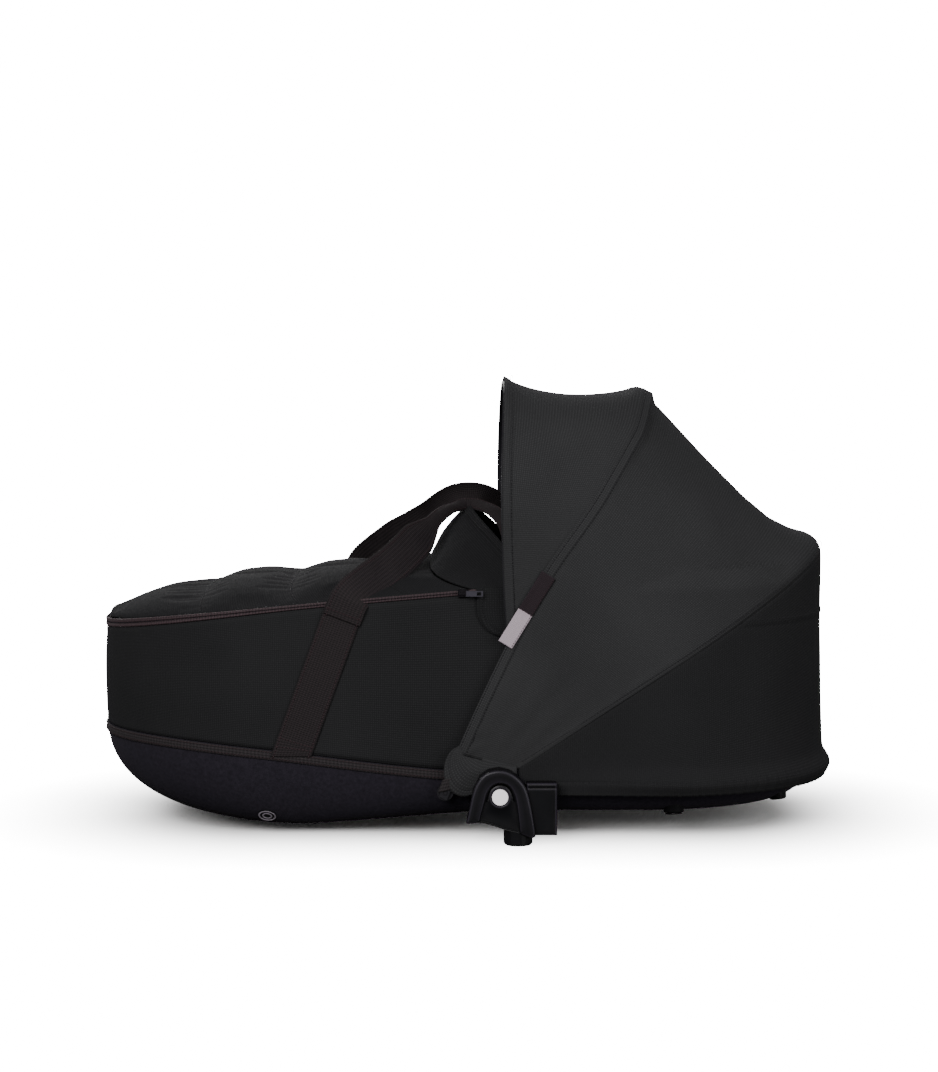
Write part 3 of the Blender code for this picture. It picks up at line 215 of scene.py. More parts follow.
def seat(piece, body, slotName, *nodes):
    # last step of a piece: which body carries it and which CAD nodes it stands for; the finish named by slotName is
    # not used
    if piece.parent is None and body is not None:
        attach(piece, body)
    if nodes:
        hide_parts(*nodes)
    return piece


def addNode(tree, kind, links=None, **settings):
    node = tree.nodes.new(kind)
    for key, value in settings.items():
        setattr(node, key, value)
    for key, value in (links or {}).items():
        socket = node.inputs[key]
        if isinstance(value, bpy.types.NodeSocket):
            tree.links.new(value, socket)
        else:
            socket.default_value = value
    return node


def startMaterial(name, roughness, metallic=0.0, ior=1.5, sheen=0.0, sheenRoughness=0.5):
    material = bpy.data.materials.new(name)
    material.use_nodes = True
    tree = material.node_tree
    shader = tree.nodes["Principled BSDF"]
    for key, value in (("Roughness", roughness), ("Metallic", metallic), ("IOR", ior),
                       ("Sheen Weight", sheen), ("Sheen Roughness", sheenRoughness)):
        shader.inputs[key].default_value = value
    return material, tree, shader


waveUnit = 0.314    # a wave texture at scale 1 repeats every 0.314 m


def wovenCloth(name, dark, light, thread, roughness, sheen, bumpHeight):
    # plain weave: two crossed waves along the UV map; real threads are 0.2 to 0.3 mm apart, too fine to show,
    # so they are drawn three to five times as coarse
    mottle = 0.35
    material, tree, shader = startMaterial(name, roughness, sheen=sheen, sheenRoughness=0.45)
    shader.inputs["Sheen Tint"].default_value = linear("8a8690")
    shader.inputs["Specular IOR Level"].default_value = 0.05
    place = addNode(tree, "ShaderNodeTexCoord")
    weave = []
    for turn in ("X", "Y"):
        weave.append(addNode(tree, "ShaderNodeTexWave", {
            "Vector": place.outputs["UV"], "Scale": waveUnit / thread / 2, "Distortion": 1.2, "Detail": 1.0,
            "Detail Scale": 2.0}, wave_type="BANDS", bands_direction=turn, wave_profile="SIN"))
    threads = addNode(tree, "ShaderNodeMath", {0: weave[0].outputs["Fac"], 1: weave[1].outputs["Fac"]},
                      operation="MULTIPLY")
    fleck = addNode(tree, "ShaderNodeTexNoise", {"Vector": place.outputs["UV"], "Scale": 0.6 / thread,
                                                 "Detail": 2.0, "Roughness": 0.7})
    patch = addNode(tree, "ShaderNodeTexNoise", {"Vector": place.outputs["Object"], "Scale": 9.0, "Detail": 3.0})
    share = addNode(tree, "ShaderNodeMath", {0: fleck.outputs["Fac"], 1: threads.outputs[0]}, operation="MULTIPLY")
    share = addNode(tree, "ShaderNodeMath", {0: patch.outputs["Fac"], 1: mottle, 2: share.outputs[0]},
                    operation="MULTIPLY_ADD")
    # 6 and 7 are the Mix node's colours: its float sockets carry the same names
    colour = addNode(tree, "ShaderNodeMix", {"Factor": share.outputs[0], 6: linear(dark), 7: linear(light)},
                     data_type="RGBA")
    tree.links.new(colour.outputs[2], shader.inputs["Base Color"])
    height = addNode(tree, "ShaderNodeMath", {0: threads.outputs[0], 1: fleck.outputs["Fac"]}, operation="ADD")
    relief = addNode(tree, "ShaderNodeBump", {"Strength": 0.5, "Distance": bumpHeight, "Height": height.outputs[0]})
    tree.links.new(relief.outputs["Normal"], shader.inputs["Normal"])
    return material


def webbingCloth(name, dark, light, rib, roughness, sheen):
    # woven strap: fine ribs across it and finer lines along it, by the UV map
    material, tree, shader = startMaterial(name, roughness, sheen=sheen, sheenRoughness=0.4)
    shader.inputs["Sheen Tint"].default_value = linear("7d6a70")
    shader.inputs["Specular IOR Level"].default_value = 0.2
    place = addNode(tree, "ShaderNodeTexCoord")
    across = addNode(tree, "ShaderNodeTexWave", {"Vector": place.outputs["UV"], "Scale": waveUnit / rib / 2,
                                                 "Distortion": 2.0, "Detail": 2.0, "Detail Scale": 3.0},
                     bands_direction="Y")
    along = addNode(tree, "ShaderNodeTexWave", {"Vector": place.outputs["UV"], "Scale": waveUnit / (rib * 1.4) / 2,
                                                "Distortion": 1.0}, bands_direction="X")
    fleck = addNode(tree, "ShaderNodeTexNoise", {"Vector": place.outputs["UV"], "Scale": 700.0, "Detail": 3.0})
    height = addNode(tree, "ShaderNodeMath", {0: across.outputs["Fac"], 1: along.outputs["Fac"]}, operation="ADD")
    share = addNode(tree, "ShaderNodeMath", {0: height.outputs[0], 1: fleck.outputs["Fac"]}, operation="MULTIPLY")
    colour = addNode(tree, "ShaderNodeMix", {"Factor": share.outputs[0], 6: linear(dark), 7: linear(light)},
                     data_type="RGBA")
    tree.links.new(colour.outputs[2], shader.inputs["Base Color"])
    relief = addNode(tree, "ShaderNodeBump", {"Strength": 0.7, "Distance": 0.0004, "Height": height.outputs[0]})
    tree.links.new(relief.outputs["Normal"], shader.inputs["Normal"])
    return material


def feltedShell(name, dark, light):
    # needled polyester felt, hot-pressed over the base: short tangled fibres, no weave, a dull violet fleck
    material, tree, shader = startMaterial(name, 0.93, sheen=0.04, sheenRoughness=0.6)
    shader.inputs["Sheen Tint"].default_value = linear("8f8796")
    shader.inputs["Specular IOR Level"].default_value = 0.05
    place = addNode(tree, "ShaderNodeTexCoord")
    fibres = addNode(tree, "ShaderNodeTexNoise", {"Vector": place.outputs["Object"], "Scale": 620.0, "Detail": 4.0,
                                                  "Roughness": 0.75, "Distortion": 1.5})
    lumps = addNode(tree, "ShaderNodeTexNoise", {"Vector": place.outputs["Object"], "Scale": 260.0, "Detail": 3.0})
    share = addNode(tree, "ShaderNodeMath", {0: fibres.outputs["Fac"], 1: lumps.outputs["Fac"]},
                    operation="MULTIPLY")
    spread = addNode(tree, "ShaderNodeMapRange", {"Value": share.outputs[0], "From Min": 0.10, "From Max": 0.50})
    colour = addNode(tree, "ShaderNodeMix", {"Factor": spread.outputs[0], 6: linear(dark), 7: linear(light)},
                     data_type="RGBA")
    tree.links.new(colour.outputs[2], shader.inputs["Base Color"])
    relief = addNode(tree, "ShaderNodeBump", {"Strength": 0.6, "Distance": 0.0008, "Height": fibres.outputs["Fac"]})
    tree.links.new(relief.outputs["Normal"], shader.inputs["Normal"])
    return material


def mouldedPlastic(name, hexText, light, roughness, grain, ior=1.5):
    # spark-eroded mould surface: fine grain that spreads the highlight; edges lightened as a painted highlight where
    # a piece says so
    material, tree, shader = startMaterial(name, roughness, ior=ior)
    shader.inputs["Specular IOR Level"].default_value = 0.12
    place = addNode(tree, "ShaderNodeTexCoord")
    fine = addNode(tree, "ShaderNodeTexNoise", {"Vector": place.outputs["Object"], "Scale": grain, "Detail": 3.0})
    wide = addNode(tree, "ShaderNodeTexNoise", {"Vector": place.outputs["Object"], "Scale": 40.0, "Detail": 2.0})
    colour = addNode(tree, "ShaderNodeMix", {"Factor": wide.outputs["Fac"], 6: linear(hexText), 7: linear(light)},
                     data_type="RGBA")
    # painted highlight: where a piece's attribute says so, the colour is mixed towards a lighter one
    paintedHighlight = addNode(tree, "ShaderNodeAttribute", attribute_name="paintedHighlight")
    highlightMix = addNode(tree, "ShaderNodeMix", {"Factor": paintedHighlight.outputs["Fac"], 6: colour.outputs[2],
                                           7: linear("242128")}, data_type="RGBA")
    tree.links.new(highlightMix.outputs[2], shader.inputs["Base Color"])
    gloss = addNode(tree, "ShaderNodeMapRange", {"Value": wide.outputs["Fac"], "To Min": roughness - 0.06,
                                                 "To Max": roughness + 0.08})
    tree.links.new(gloss.outputs[0], shader.inputs["Roughness"])
    relief = addNode(tree, "ShaderNodeBump", {"Strength": 0.25, "Distance": 0.0002, "Height": fine.outputs["Fac"]})
    tree.links.new(relief.outputs["Normal"], shader.inputs["Normal"])
    return material


def plainMetal(name, hexText, roughness):
    material, tree, shader = startMaterial(name, roughness, metallic=1.0)
    place = addNode(tree, "ShaderNodeTexCoord")
    scuff = addNode(tree, "ShaderNodeTexNoise", {"Vector": place.outputs["Object"], "Scale": 300.0, "Detail": 4.0})
    gloss = addNode(tree, "ShaderNodeMapRange", {"Value": scuff.outputs["Fac"], "To Min": roughness - 0.08,
                                                 "To Max": roughness + 0.1})
    shader.inputs["Base Color"].default_value = linear(hexText)
    tree.links.new(gloss.outputs[0], shader.inputs["Roughness"])
    return material


def plainThread(name, hexText):
    # twisted polyester sewing thread, with a slight shine on top of each stitch
    material, tree, shader = startMaterial(name, 0.75)
    shader.inputs["Specular IOR Level"].default_value = 0.2
    place = addNode(tree, "ShaderNodeTexCoord")
    twist = addNode(tree, "ShaderNodeTexNoise", {"Vector": place.outputs["Object"], "Scale": 1500.0})
    light = tuple(min(1.0, level * 2.2) for level in linear(hexText))
    colour = addNode(tree, "ShaderNodeMix", {"Factor": twist.outputs["Fac"], 6: linear(hexText), 7: light},
                     data_type="RGBA")
    tree.links.new(colour.outputs[2], shader.inputs["Base Color"])
    return material


# polyester plain weave, piece-dyed black: matt, a trace of sheen at glancing angles. The canopy is pulled
# tight and takes the lighter colours; the wall and skirt copies are darker: painted shade, as they lie in more shade
canopyCloth = wovenCloth("polyesterPlainWeaveBlack", "1c1c1d", "363637", 0.0011, 0.92, 0.02, 0.0004)
wallClothPaintedShade = wovenCloth("polyesterPlainWeavePaintedShadeWall", "131314", "272728", 0.0011, 0.92, 0.02, 0.0004)
skirtClothPaintedShade = wovenCloth("polyesterPlainWeavePaintedShadeSkirt", "131314", "262627", 0.0011, 0.92, 0.02, 0.0004)
# the same yarn sewn over wadding, which opens the weave a little
quiltCloth = wovenCloth("polyesterQuilted", "111112", "242425", 0.0012, 0.92, 0.02, 0.0005)
# knitted cotton, dark grey and soft: a clear sheen from its loose fibres
liningCloth = wovenCloth("cottonJersey", "2c2b30", "4a494f", 0.0016, 0.92, 0.35, 0.0006)
# open-celled foam, dull and grainy
foamCloth = wovenCloth("polyetherFoam", "2c2b2d", "49484a", 0.0022, 0.95, 0.0, 0.0008)
# polypropylene webbing and polyester tapes, warm black against the neutral cloth
strapWebbing = webbingCloth("polypropyleneWebbing", "0c090a", "1d1719", 0.0011, 0.85, 0.04)
bindingTape = webbingCloth("grosgrainTape", "0f0d0e", "231e20", 0.0014, 0.85, 0.04)
zipTape = webbingCloth("zipTape", "150f11", "37292d", 0.0012, 0.7, 0.08)
baseFelt = feltedShell("needledFelt", "151318", "232027")
# glass-filled nylon off a spark-eroded mould: almost black, half matt
adapterNylon = mouldedPlastic("glassFilledNylon", "060607", "0c0b0e", 0.36, 900.0, 1.52)
# natural moulded acetal and polypropylene: smooth, the button white and a little glossy
ribPlastic = mouldedPlastic("acetalRib", "111013", "1c1b1f", 0.45, 700.0)
buttonAcetal = mouldedPlastic("whiteAcetal", "e4dee1", "efeaed", 0.38, 900.0, 1.48)
ringPlastic = mouldedPlastic("greyAcetal", "6a646c", "77727a", 0.5, 700.0)
boardPlastic = mouldedPlastic("polypropyleneBoard", "5d5c5b", "6d6c6a", 0.6, 400.0)
# zinc castings, one blackened and one satin, and bright spring steel
zipMetal = plainMetal("blackenedZinc", "1d1b1e", 0.42)
pullMetal = plainMetal("satinZinc", "3d3b42", 0.42)
steelWire = plainMetal("springSteel", "8e8e90", 0.34)
darkThread = plainThread("sewingThreadBlack", "0c0b0e")
strapThread = plainThread("sewingThreadWarmBlack", "1c1114")
# dense satin ribbon, smoother than the cloth
tagBlack = wovenCloth("labelRibbonBlack", "181316", "2c2428", 0.0009, 0.7, 0.15, 0.0003)
tagGrey = wovenCloth("labelRibbonGrey", "867b82", "a0959b", 0.0009, 0.55, 0.30, 0.0003)
print("materials made")


def rowTree(name, inputs, shape, scale, upright=False):
    # sets small shapes along each edge line of a mesh, each lying along the line
    tree = bpy.data.node_groups.new(name, "GeometryNodeTree")
    face = tree.interface
    face.new_socket("Geometry", in_out="INPUT", socket_type="NodeSocketGeometry")
    for label in inputs:
        face.new_socket(label, in_out="INPUT", socket_type="NodeSocketFloat")
    face.new_socket("Material", in_out="INPUT", socket_type="NodeSocketMaterial")
    face.new_socket("Geometry", in_out="OUTPUT", socket_type="NodeSocketGeometry")
    start = addNode(tree, "NodeGroupInput")
    line = addNode(tree, "GeometryNodeMeshToCurve", {"Mesh": start.outputs["Geometry"]})
    spots = addNode(tree, "GeometryNodeCurveToPoints", {"Curve": line.outputs["Curve"],
                                                        "Length": start.outputs["Pitch"]}, mode="LENGTH")
    small = addNode(tree, *shape)
    size = addNode(tree, "ShaderNodeCombineXYZ", {axis: start.outputs[label] for axis, label in zip("XYZ", scale)})
    turn = addNode(tree, "FunctionNodeAlignRotationToVector", {"Vector": spots.outputs["Tangent"]}, axis="Z")
    if upright:
        turn = addNode(tree, "FunctionNodeAlignRotationToVector", {"Rotation": turn.outputs[0],
                                                                   "Vector": (0.0, 0.0, 1.0)},
                       axis="Y", pivot_axis="Z")
    placed = addNode(tree, "GeometryNodeInstanceOnPoints", {"Points": spots.outputs["Points"],
                                                            "Instance": small.outputs["Mesh"],
                                                            "Rotation": turn.outputs[0], "Scale": size.outputs[0]})
    real = addNode(tree, "GeometryNodeRealizeInstances", {"Geometry": placed.outputs[0]})
    dressed = addNode(tree, "GeometryNodeSetMaterial", {"Geometry": real.outputs[0],
                                                        "Material": start.outputs["Material"]})
    addNode(tree, "NodeGroupOutput", {"Geometry": dressed.outputs[0]})
    return tree


# a stitch is a short six-sided thread, a tooth of the coil a rounded bead that also stands upright
stitchGroup = rowTree("stitchRow", ("Pitch", "Length", "Width"),
                      ("GeometryNodeMeshCylinder", {"Vertices": 6, "Side Segments": 1, "Radius": 0.5, "Depth": 1.0}),
                      ("Width", "Width", "Length"))
toothGroup = rowTree("zipCoil", ("Pitch", "Width", "Height", "Depth"),
                     ("GeometryNodeMeshIcoSphere", {"Radius": 0.5, "Subdivisions": 1}),
                     ("Depth", "Height", "Width"), upright=True)


def linePiece(name, lines, group, inputs):
    # lines of points as a wire mesh, run through a node group and made a plain mesh
    verts, edges = [], []
    for line in lines:
        first = len(verts)
        verts += [tuple(point) for point in line]
        edges += [(first + i, first + i + 1) for i in range(len(line) - 1)]
    mesh = bpy.data.meshes.new(name)
    mesh.from_pydata(verts, edges, [])
    wire = bpy.data.objects.new(name + "Wire", mesh)
    bpy.context.scene.collection.objects.link(wire)
    step = wire.modifiers.new("nodes", "NODES")
    step.node_group = group
    for item in group.interface.items_tree:
        if item.in_out == "INPUT" and item.name in inputs:
            step[item.identifier] = inputs[item.name]
    bpy.context.view_layer.update()
    graph = bpy.context.evaluated_depsgraph_get()
    made = bpy.data.meshes.new_from_object(wire.evaluated_get(graph), preserve_all_data_layers=True,
                                           depsgraph=graph)
    bpy.data.objects.remove(wire)
    made.name = name
    piece = bpy.data.objects.new(name, made)
    made.shade_smooth()
    bpy.context.scene.collection.objects.link(piece)
    return piece


def seamKind(pitch, length, width, thread):
    return {"Pitch": pitch, "Length": length, "Width": width, "Material": thread}


clothSeam = seamKind(0.0034, 0.0024, 0.0006, darkThread)
quiltSeam = seamKind(0.0036, 0.0026, 0.0007, darkThread)
tapeSeam = seamKind(0.0036, 0.0026, 0.0007, strapThread)
strapSeam = seamKind(0.0036, 0.0027, 0.0009, strapThread)
handleSeam = seamKind(0.0036, 0.0027, 0.0008, strapThread)
tagSeam = seamKind(0.0030, 0.0020, 0.0005, strapThread)
mattressSeam = seamKind(0.0040, 0.0030, 0.0008, darkThread)


def stitches(name, lines, body, slotName, kind=clothSeam):
    return seat(linePiece(name, lines, stitchGroup, kind), body, slotName)


# the tub's shape is worked out as the CAD's is
tub = {
    "footEnd": -0.3955, "headEnd": 0.3750, "halfWidth": 0.1840, "cornerRadius": 0.1700,
    "seamFoot": 0.1055, "seamHead": 0.0710, "seamStart": -0.3600, "seamEnd": 0.0500,
    "rimHeight": 0.2572, "rimBend": 0.0060, "rimSlope": 0.0850,
    "dropStart": -0.1300, "dropReach": 0.2655, "drop": 0.0135,
    "shellPower": 2.2, "footInset": 0.1500, "headInset": 0.0450, "sideInset": 0.0500,
    "bellyFoot": 0.0085, "bellyHead": 0.0245, "bellyStart": -0.2200, "bellyEnd": 0.0600,
    "bindingHeight": 0.0100, "wallBulge": 0.0020,
}
tubMiddle = (0.0, 0.0, 0.15)


def seamHeight(x):
    return mix(tub["seamFoot"], tub["seamHead"], ease(tub["seamStart"], tub["seamEnd"], x))


def bellyHeight(x):
    return mix(tub["bellyFoot"], tub["bellyHead"], ease(tub["bellyStart"], tub["bellyEnd"], x))


def rimLine(x):
    past = np.maximum(0, tub["dropStart"] - x) / tub["dropReach"]
    return tub["rimHeight"] - tub["rimSlope"] * np.maximum(0, tub["rimBend"] - x) - tub["drop"] * past ** 2


def planRing(count, inset=0.0):
    # closed plan line, from the middle of the head end round +Y to the foot end and back
    radius = tub["cornerRadius"] - inset
    high, low = tub["headEnd"] - inset, tub["footEnd"] + inset
    wide = tub["halfWidth"] - inset
    turns = np.linspace(0, math.pi / 2, 60)
    head = np.stack([high - radius + radius * np.cos(turns), wide - radius + radius * np.sin(turns)], 1)
    foot = np.stack([low + radius - radius * np.sin(turns), wide - radius + radius * np.cos(turns)], 1)
    half = np.concatenate([[[high, 0]], head, foot, [[low, 0]]])
    ring = np.concatenate([half, half[-2:0:-1] * [1, -1]])
    closed = np.concatenate([ring, ring[:1]])
    return evenly(closed, count + 1)[:-1]


def halfWidthAt(x, inset=0.0):
    radius = tub["cornerRadius"] - inset
    high, low = tub["headEnd"] - inset, tub["footEnd"] + inset
    wide = tub["halfWidth"] - inset
    past = np.maximum(0, np.maximum(x - (high - radius), (low + radius) - x))
    inside = wide - radius + np.sqrt(np.maximum(0, radius ** 2 - past ** 2))
    return np.where((x > high) | (x < low), 0.0, inside)


def wallGrid(count, rows, lowShift, highShift, inset, bulge=None):
    bulge = tub["wallBulge"] if bulge is None else bulge
    inner, outer = planRing(count, inset), planRing(count, inset - bulge)
    share = np.linspace(1, 0, rows)[:, None]
    z = mix(seamHeight(inner[:, 0]) + lowShift, rimLine(inner[:, 0]) + highShift, share)
    up = (z - seamHeight(inner[:, 0])) / (rimLine(inner[:, 0]) - seamHeight(inner[:, 0]))
    out = (4 * up * (1 - up))[..., None]
    flat = mix(inner[None], outer[None], out)
    return np.concatenate([flat, z[..., None]], axis=2)


def shellGrid(count, rows, inset):
    ring = planRing(count, inset)
    angle = np.linspace(0, math.pi / 2, rows)[:, None]
    pull = 1 - np.cos(angle) ** (2 / tub["shellPower"])
    drop = np.sin(angle) ** (2 / tub["shellPower"])
    x, y = ring[:, 0][None], ring[:, 1][None]
    along = np.where(x < 0, tub["footInset"] / -tub["footEnd"], tub["headInset"] / tub["headEnd"])
    newX = x * (1 - along * pull)
    newY = y * (1 - tub["sideInset"] / tub["halfWidth"] * pull)
    z = mix(seamHeight(x), bellyHeight(newX) + inset, drop)
    return np.stack([newX, newY, z + 0 * newX], axis=2)


def shellRing(count, inset, height):
    # plan line of the shell's inside at one height
    shell = shellGrid(count, 60, inset)
    ring = []
    for column in range(count):
        heights = shell[::-1, column, 2]
        ring.append([np.interp(height, heights, shell[::-1, column, axis]) for axis in (0, 1)])
    return np.array(ring)


def makeShell():
    size = {"count": 320, "rows": 26, "wall": 0.0034, "lip": 0.0040}
    grid = shellGrid(size["count"], size["rows"], 0.0)
    lip = grid[0] - [0, 0, size["lip"]]
    grid = np.concatenate([grid[:1], lip[None], grid[1:]])
    piece = gridPiece("baseShell", grid, tubMiddle, baseFelt, wrap=True, capLast=True)
    seat(thicken(piece, size["wall"]), "root", "moulded_felt", "base_shell")
    dress("floor_board", boardPlastic)


def dress(node, material):
    made = frame["nodes"][node]
    made.data.materials.clear()
    made.data.materials.append(material)
    return made


def makeBinding():
    # grosgrain tape folded over the felt's edge, sewn along its top and bottom
    size = {"count": 320, "proud": 0.0016, "rows": 9, "gap": 0.0003, "stitchIn": 0.0018, "body": 0.0012,
            "roundness": 0.35, "edge": 0.04}
    ring = planRing(size["count"], -size["gap"])
    outer = planRing(size["count"], -size["gap"] - size["proud"])
    share = np.linspace(0, 1, size["rows"])[:, None]
    out = np.sin(np.clip(share, size["edge"], 1 - size["edge"]) * math.pi)[..., None] ** size["roundness"]
    flat = mix(ring[None], outer[None], out)
    z = seamHeight(ring[:, 0])[None] - size["gap"] - share * (tub["bindingHeight"] - size["gap"])
    grid = np.concatenate([flat, z[..., None]], axis=2)
    piece = gridPiece("baseBindingTape", grid, tubMiddle, bindingTape, wrap=True)
    seat(thicken(piece, size["body"]), "root", "webbing", "base_binding")
    lines = []
    for drop in (size["stitchIn"], tub["bindingHeight"] - size["stitchIn"]):
        z = seamHeight(outer[:, 0]) - drop
        line = np.concatenate([outer, z[:, None]], axis=1)
        lines.append(np.concatenate([line, line[:1]]))
    stitches("baseBindingStitches", lines, "root", "webbing", tapeSeam)


def makeWall():
    size = {"count": 400, "rows": 30, "cloth": 0.0022, "lowGap": 0.0004, "dent": 0.0006, "dentSize": 0.16,
            "roll": 0.0004, "pucker": 0.00025, "puckers": 48}
    grid = wallGrid(size["count"], size["rows"], size["lowGap"], 0.0, 0.0)
    normal = outward(grid, tubMiddle, wrap=True)
    up = np.linspace(1, 0, size["rows"])[:, None]
    middle = 4 * up * (1 - up)
    dent = ripple(grid * [1, 1, 2.2], size["dentSize"], 4) * size["dent"] * middle
    # a faint roll and small puckers under the zip and over the binding, where the cloth is sewn in
    roll = (bump(up, 0.965, 0.02) + bump(up, 0.03, 0.02)) * size["roll"]
    turn = np.arange(size["count"]) * 2 * math.pi * size["puckers"] / size["count"]
    pucker = np.sin(turn)[None] * size["pucker"]
    pucker = pucker * (bump(up, 0.93, 0.05) + bump(up, 0.06, 0.05))
    grid = grid + normal * (dent + roll + pucker)[..., None]
    piece = gridPiece("sideWallCloth", grid, tubMiddle, wallClothPaintedShade, wrap=True)
    seat(thicken(piece, size["cloth"]), "root", "canopy_cloth", "side_wall")


def makeWallPad():
    # foam behind the wall cloth, ending below the rim's wire
    size = {"count": 240, "rows": 12, "inset": 0.0033, "lowGap": 0.0006, "drop": 0.0067, "body": 0.0052}
    pad = wallGrid(size["count"], size["rows"], size["lowGap"], -size["drop"], size["inset"])
    piece = gridPiece("wallPadFoam", pad, tubMiddle, foamCloth, wrap=True)
    seat(thicken(piece, size["body"]), "root", "foam", "wall_pad")


def makeLiner():
    # jersey lining, slack between its seams, drawn up over the rim
    size = {"count": 300, "rows": 22, "cloth": 0.0012, "floor": 0.0533, "inset": 0.0091, "rimDrop": 0.0008,
            "steps": 10, "follow": 0.85, "fold": 0.0009, "foldSize": 0.055}
    upper = wallGrid(size["count"], size["rows"], 0.0, -size["rimDrop"], size["inset"])
    lower = shellRing(size["count"], size["inset"], size["floor"])
    base = upper[-1]
    foot = np.concatenate([lower, np.full((len(lower), 1), size["floor"])], axis=1)
    # below the seam it follows the shell's curve down to the floor
    reach = np.concatenate([base[:, :2] - foot[:, :2], np.zeros((len(base), 1))], axis=1)
    curve = np.stack([mix(base, foot, step) + reach * (math.sqrt(max(0, 1 - step * step)) - (1 - step))
                      * size["follow"] for step in np.linspace(0, 1, size["steps"])[1:]])
    grid = np.concatenate([upper, curve])
    normal = outward(grid, tubMiddle, wrap=True)
    soft = np.linspace(0, 1, len(grid))[:, None]
    fold = ripple(grid * [1.0, 1.0, 0.35], size["foldSize"], 9) * size["fold"] * np.sin(soft * math.pi)
    grid = grid - normal * np.abs(fold)[..., None]
    piece = gridPiece("innerLiningJersey", grid, tubMiddle, liningCloth, wrap=True, capLast=True)
    seat(thicken(piece, size["cloth"]), "root", "lining_cloth", "inner_liner")


makeShell()
makeBinding()
makeWall()
makeWallPad()
makeLiner()
print("tub made")


# the canopy's cloth lies on its bows at "lift"; "headOut" is how far it stands off the tub round the head end
canopy = {
    "lift": 0.0019, "cloth": 0.0012, "build": 0.0031, "mainLayer": 0.1937, "headOut": 0.0059,
    "rearX": 0.0322, "rearZ": 0.0635, "rearSlope": 0.6504, "seamRise": -0.0002,
    "skirtStart": 0.0520, "seamZ": 0.2235, "seamFrom": 0.2770, "threadOut": 0.00005,
}
canopyPivot = np.array([-0.0247, 0.0, 0.0516])
visorPivot = np.array([0.043996, 0.0, 0.204247])


def bowOf(pivot, crown, shape):
    # a bow's direction and length in the side view, from its pivot to the top of its crown
    reach = np.array([crown[0] - pivot[0], crown[1] - pivot[2]])
    length = np.linalg.norm(reach)
    along = reach / length
    return {"pivot": pivot[[0, 2]], "along": along, "front": np.array([-along[1], along[0]]),
            "length": length - canopy["build"], **shape}


mainBow = bowOf(canopyPivot, (0.1936, 0.4646),
                {"bend": 0.0115, "layer": 0.1937, "arch": 0.2000, "power": 2.5, "seamBack": 0.0095})
frontBow = bowOf(visorPivot, (0.0410, 0.4756),
                 {"bend": 0.0050, "layer": 0.1899, "arch": 0.1900, "power": 3.0, "seamBack": 0.0})


def bowLine(rib, lift, start, shift, count):
    # over the top from the bow's foot at +Y to the one at -Y, moved by shift towards the front; over the
    # shoulders the seams run a little behind the rib, and come back to it at the crown
    seam = {"from": 0.50, "full": 0.76, "crown": 0.90, "crownLess": 0.78}
    grown = rib["length"] + lift
    arch = rib["arch"] / grown
    legs, bends = 23, 90
    turns = np.linspace(0, math.pi / 2, bends)
    leg = np.linspace(start, 1 - arch, legs + 1)[:-1]
    share = np.concatenate([leg, 1 - arch + arch * np.sin(turns) ** (2 / rib["power"])])
    across = np.concatenate([np.ones(legs), np.clip(np.cos(turns), 0, 1) ** (2 / rib["power"])])
    place = rib["pivot"] + rib["along"] * (grown * share)[:, None]
    back = rib["seamBack"] * ease(seam["from"], seam["full"], share)
    back = back * (1 - seam["crownLess"] * ease(seam["crown"], 1.0, share))
    place = place + rib["front"] * (rib["bend"] * 4 * share * (1 - share) + shift - back)[:, None]
    half = np.stack([place[:, 0], (rib["layer"] + lift) * across, place[:, 1]], axis=1)
    return evenly(np.concatenate([half, half[-2::-1] * [1, -1, 1]]), count)


def rearHeight(x):
    return canopy["rearZ"] + canopy["rearSlope"] * (x - canopy["rearX"])


def headLine(inset, count, startX, rise):
    # round the head end at the rear bow's slope
    fine = 1200
    half = planRing(2 * fine, inset)[:fine + 1]
    half = half[half[:, 0] > startX][::-1]
    half = np.concatenate([[[startX, float(halfWidthAt(startX, inset))]], half])
    plan = np.concatenate([half, half[-2::-1] * [1, -1]])
    line = np.concatenate([plan, (rearHeight(plan[:, 0]) + rise)[:, None]], axis=1)
    return evenly(line, count)


def spanGrid(first, last, share, sag):
    # cloth stretched between two bows; it hangs in a little, most over the top
    grid = mix(first[None], last[None], share[..., None])
    inward = (canopyPivot - grid) * [1, 0, 1]
    inward /= np.linalg.norm(inward, axis=2, keepdims=True)
    top = 1 - np.minimum(1, np.abs(grid[..., 1]) / canopy["mainLayer"]) ** 4
    width = np.minimum(1, np.linalg.norm(last - first, axis=1) / 0.18)[None]
    return grid + inward * (sag * top * width)[..., None]


def clearOfWall(grid):
    # beside the rim the cloth stays outside the wall; the limit fades out above it, so that it leaves no crease
    limit = {"out": 0.0075, "fade": 0.012, "from": 0.262, "to": 0.284, "depth": 0.02}
    y, z = grid[..., 1], grid[..., 2]
    least = halfWidthAt(grid[..., 0], -limit["out"]) - limit["fade"] * ease(limit["from"], limit["to"], z)
    inside = (z < limit["to"]) & (np.abs(y) < least) & (np.abs(y) > least - limit["depth"])
    grid = grid.copy()
    grid[..., 1] = np.where(inside, np.sign(y) * least, y)
    return grid


def bendWith(piece):
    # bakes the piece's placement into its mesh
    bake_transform(piece)
    piece.data.update()
    return piece


def withShare(piece, shares):
    # a per-point value that the wall modifier keeps, read back once the mesh is final
    layer = piece.data.attributes.new("turnShare", "FLOAT", "POINT")
    layer.data.foreach_set("value", np.asarray(shares, np.float32).ravel())
    return piece


def bendByShare(piece):
    settle(piece)
    values = np.zeros(len(piece.data.vertices), np.float32)
    piece.data.attributes["turnShare"].data.foreach_get("value", values)
    bendWith(piece)
    piece.data.attributes.remove(piece.data.attributes["turnShare"])
    return piece


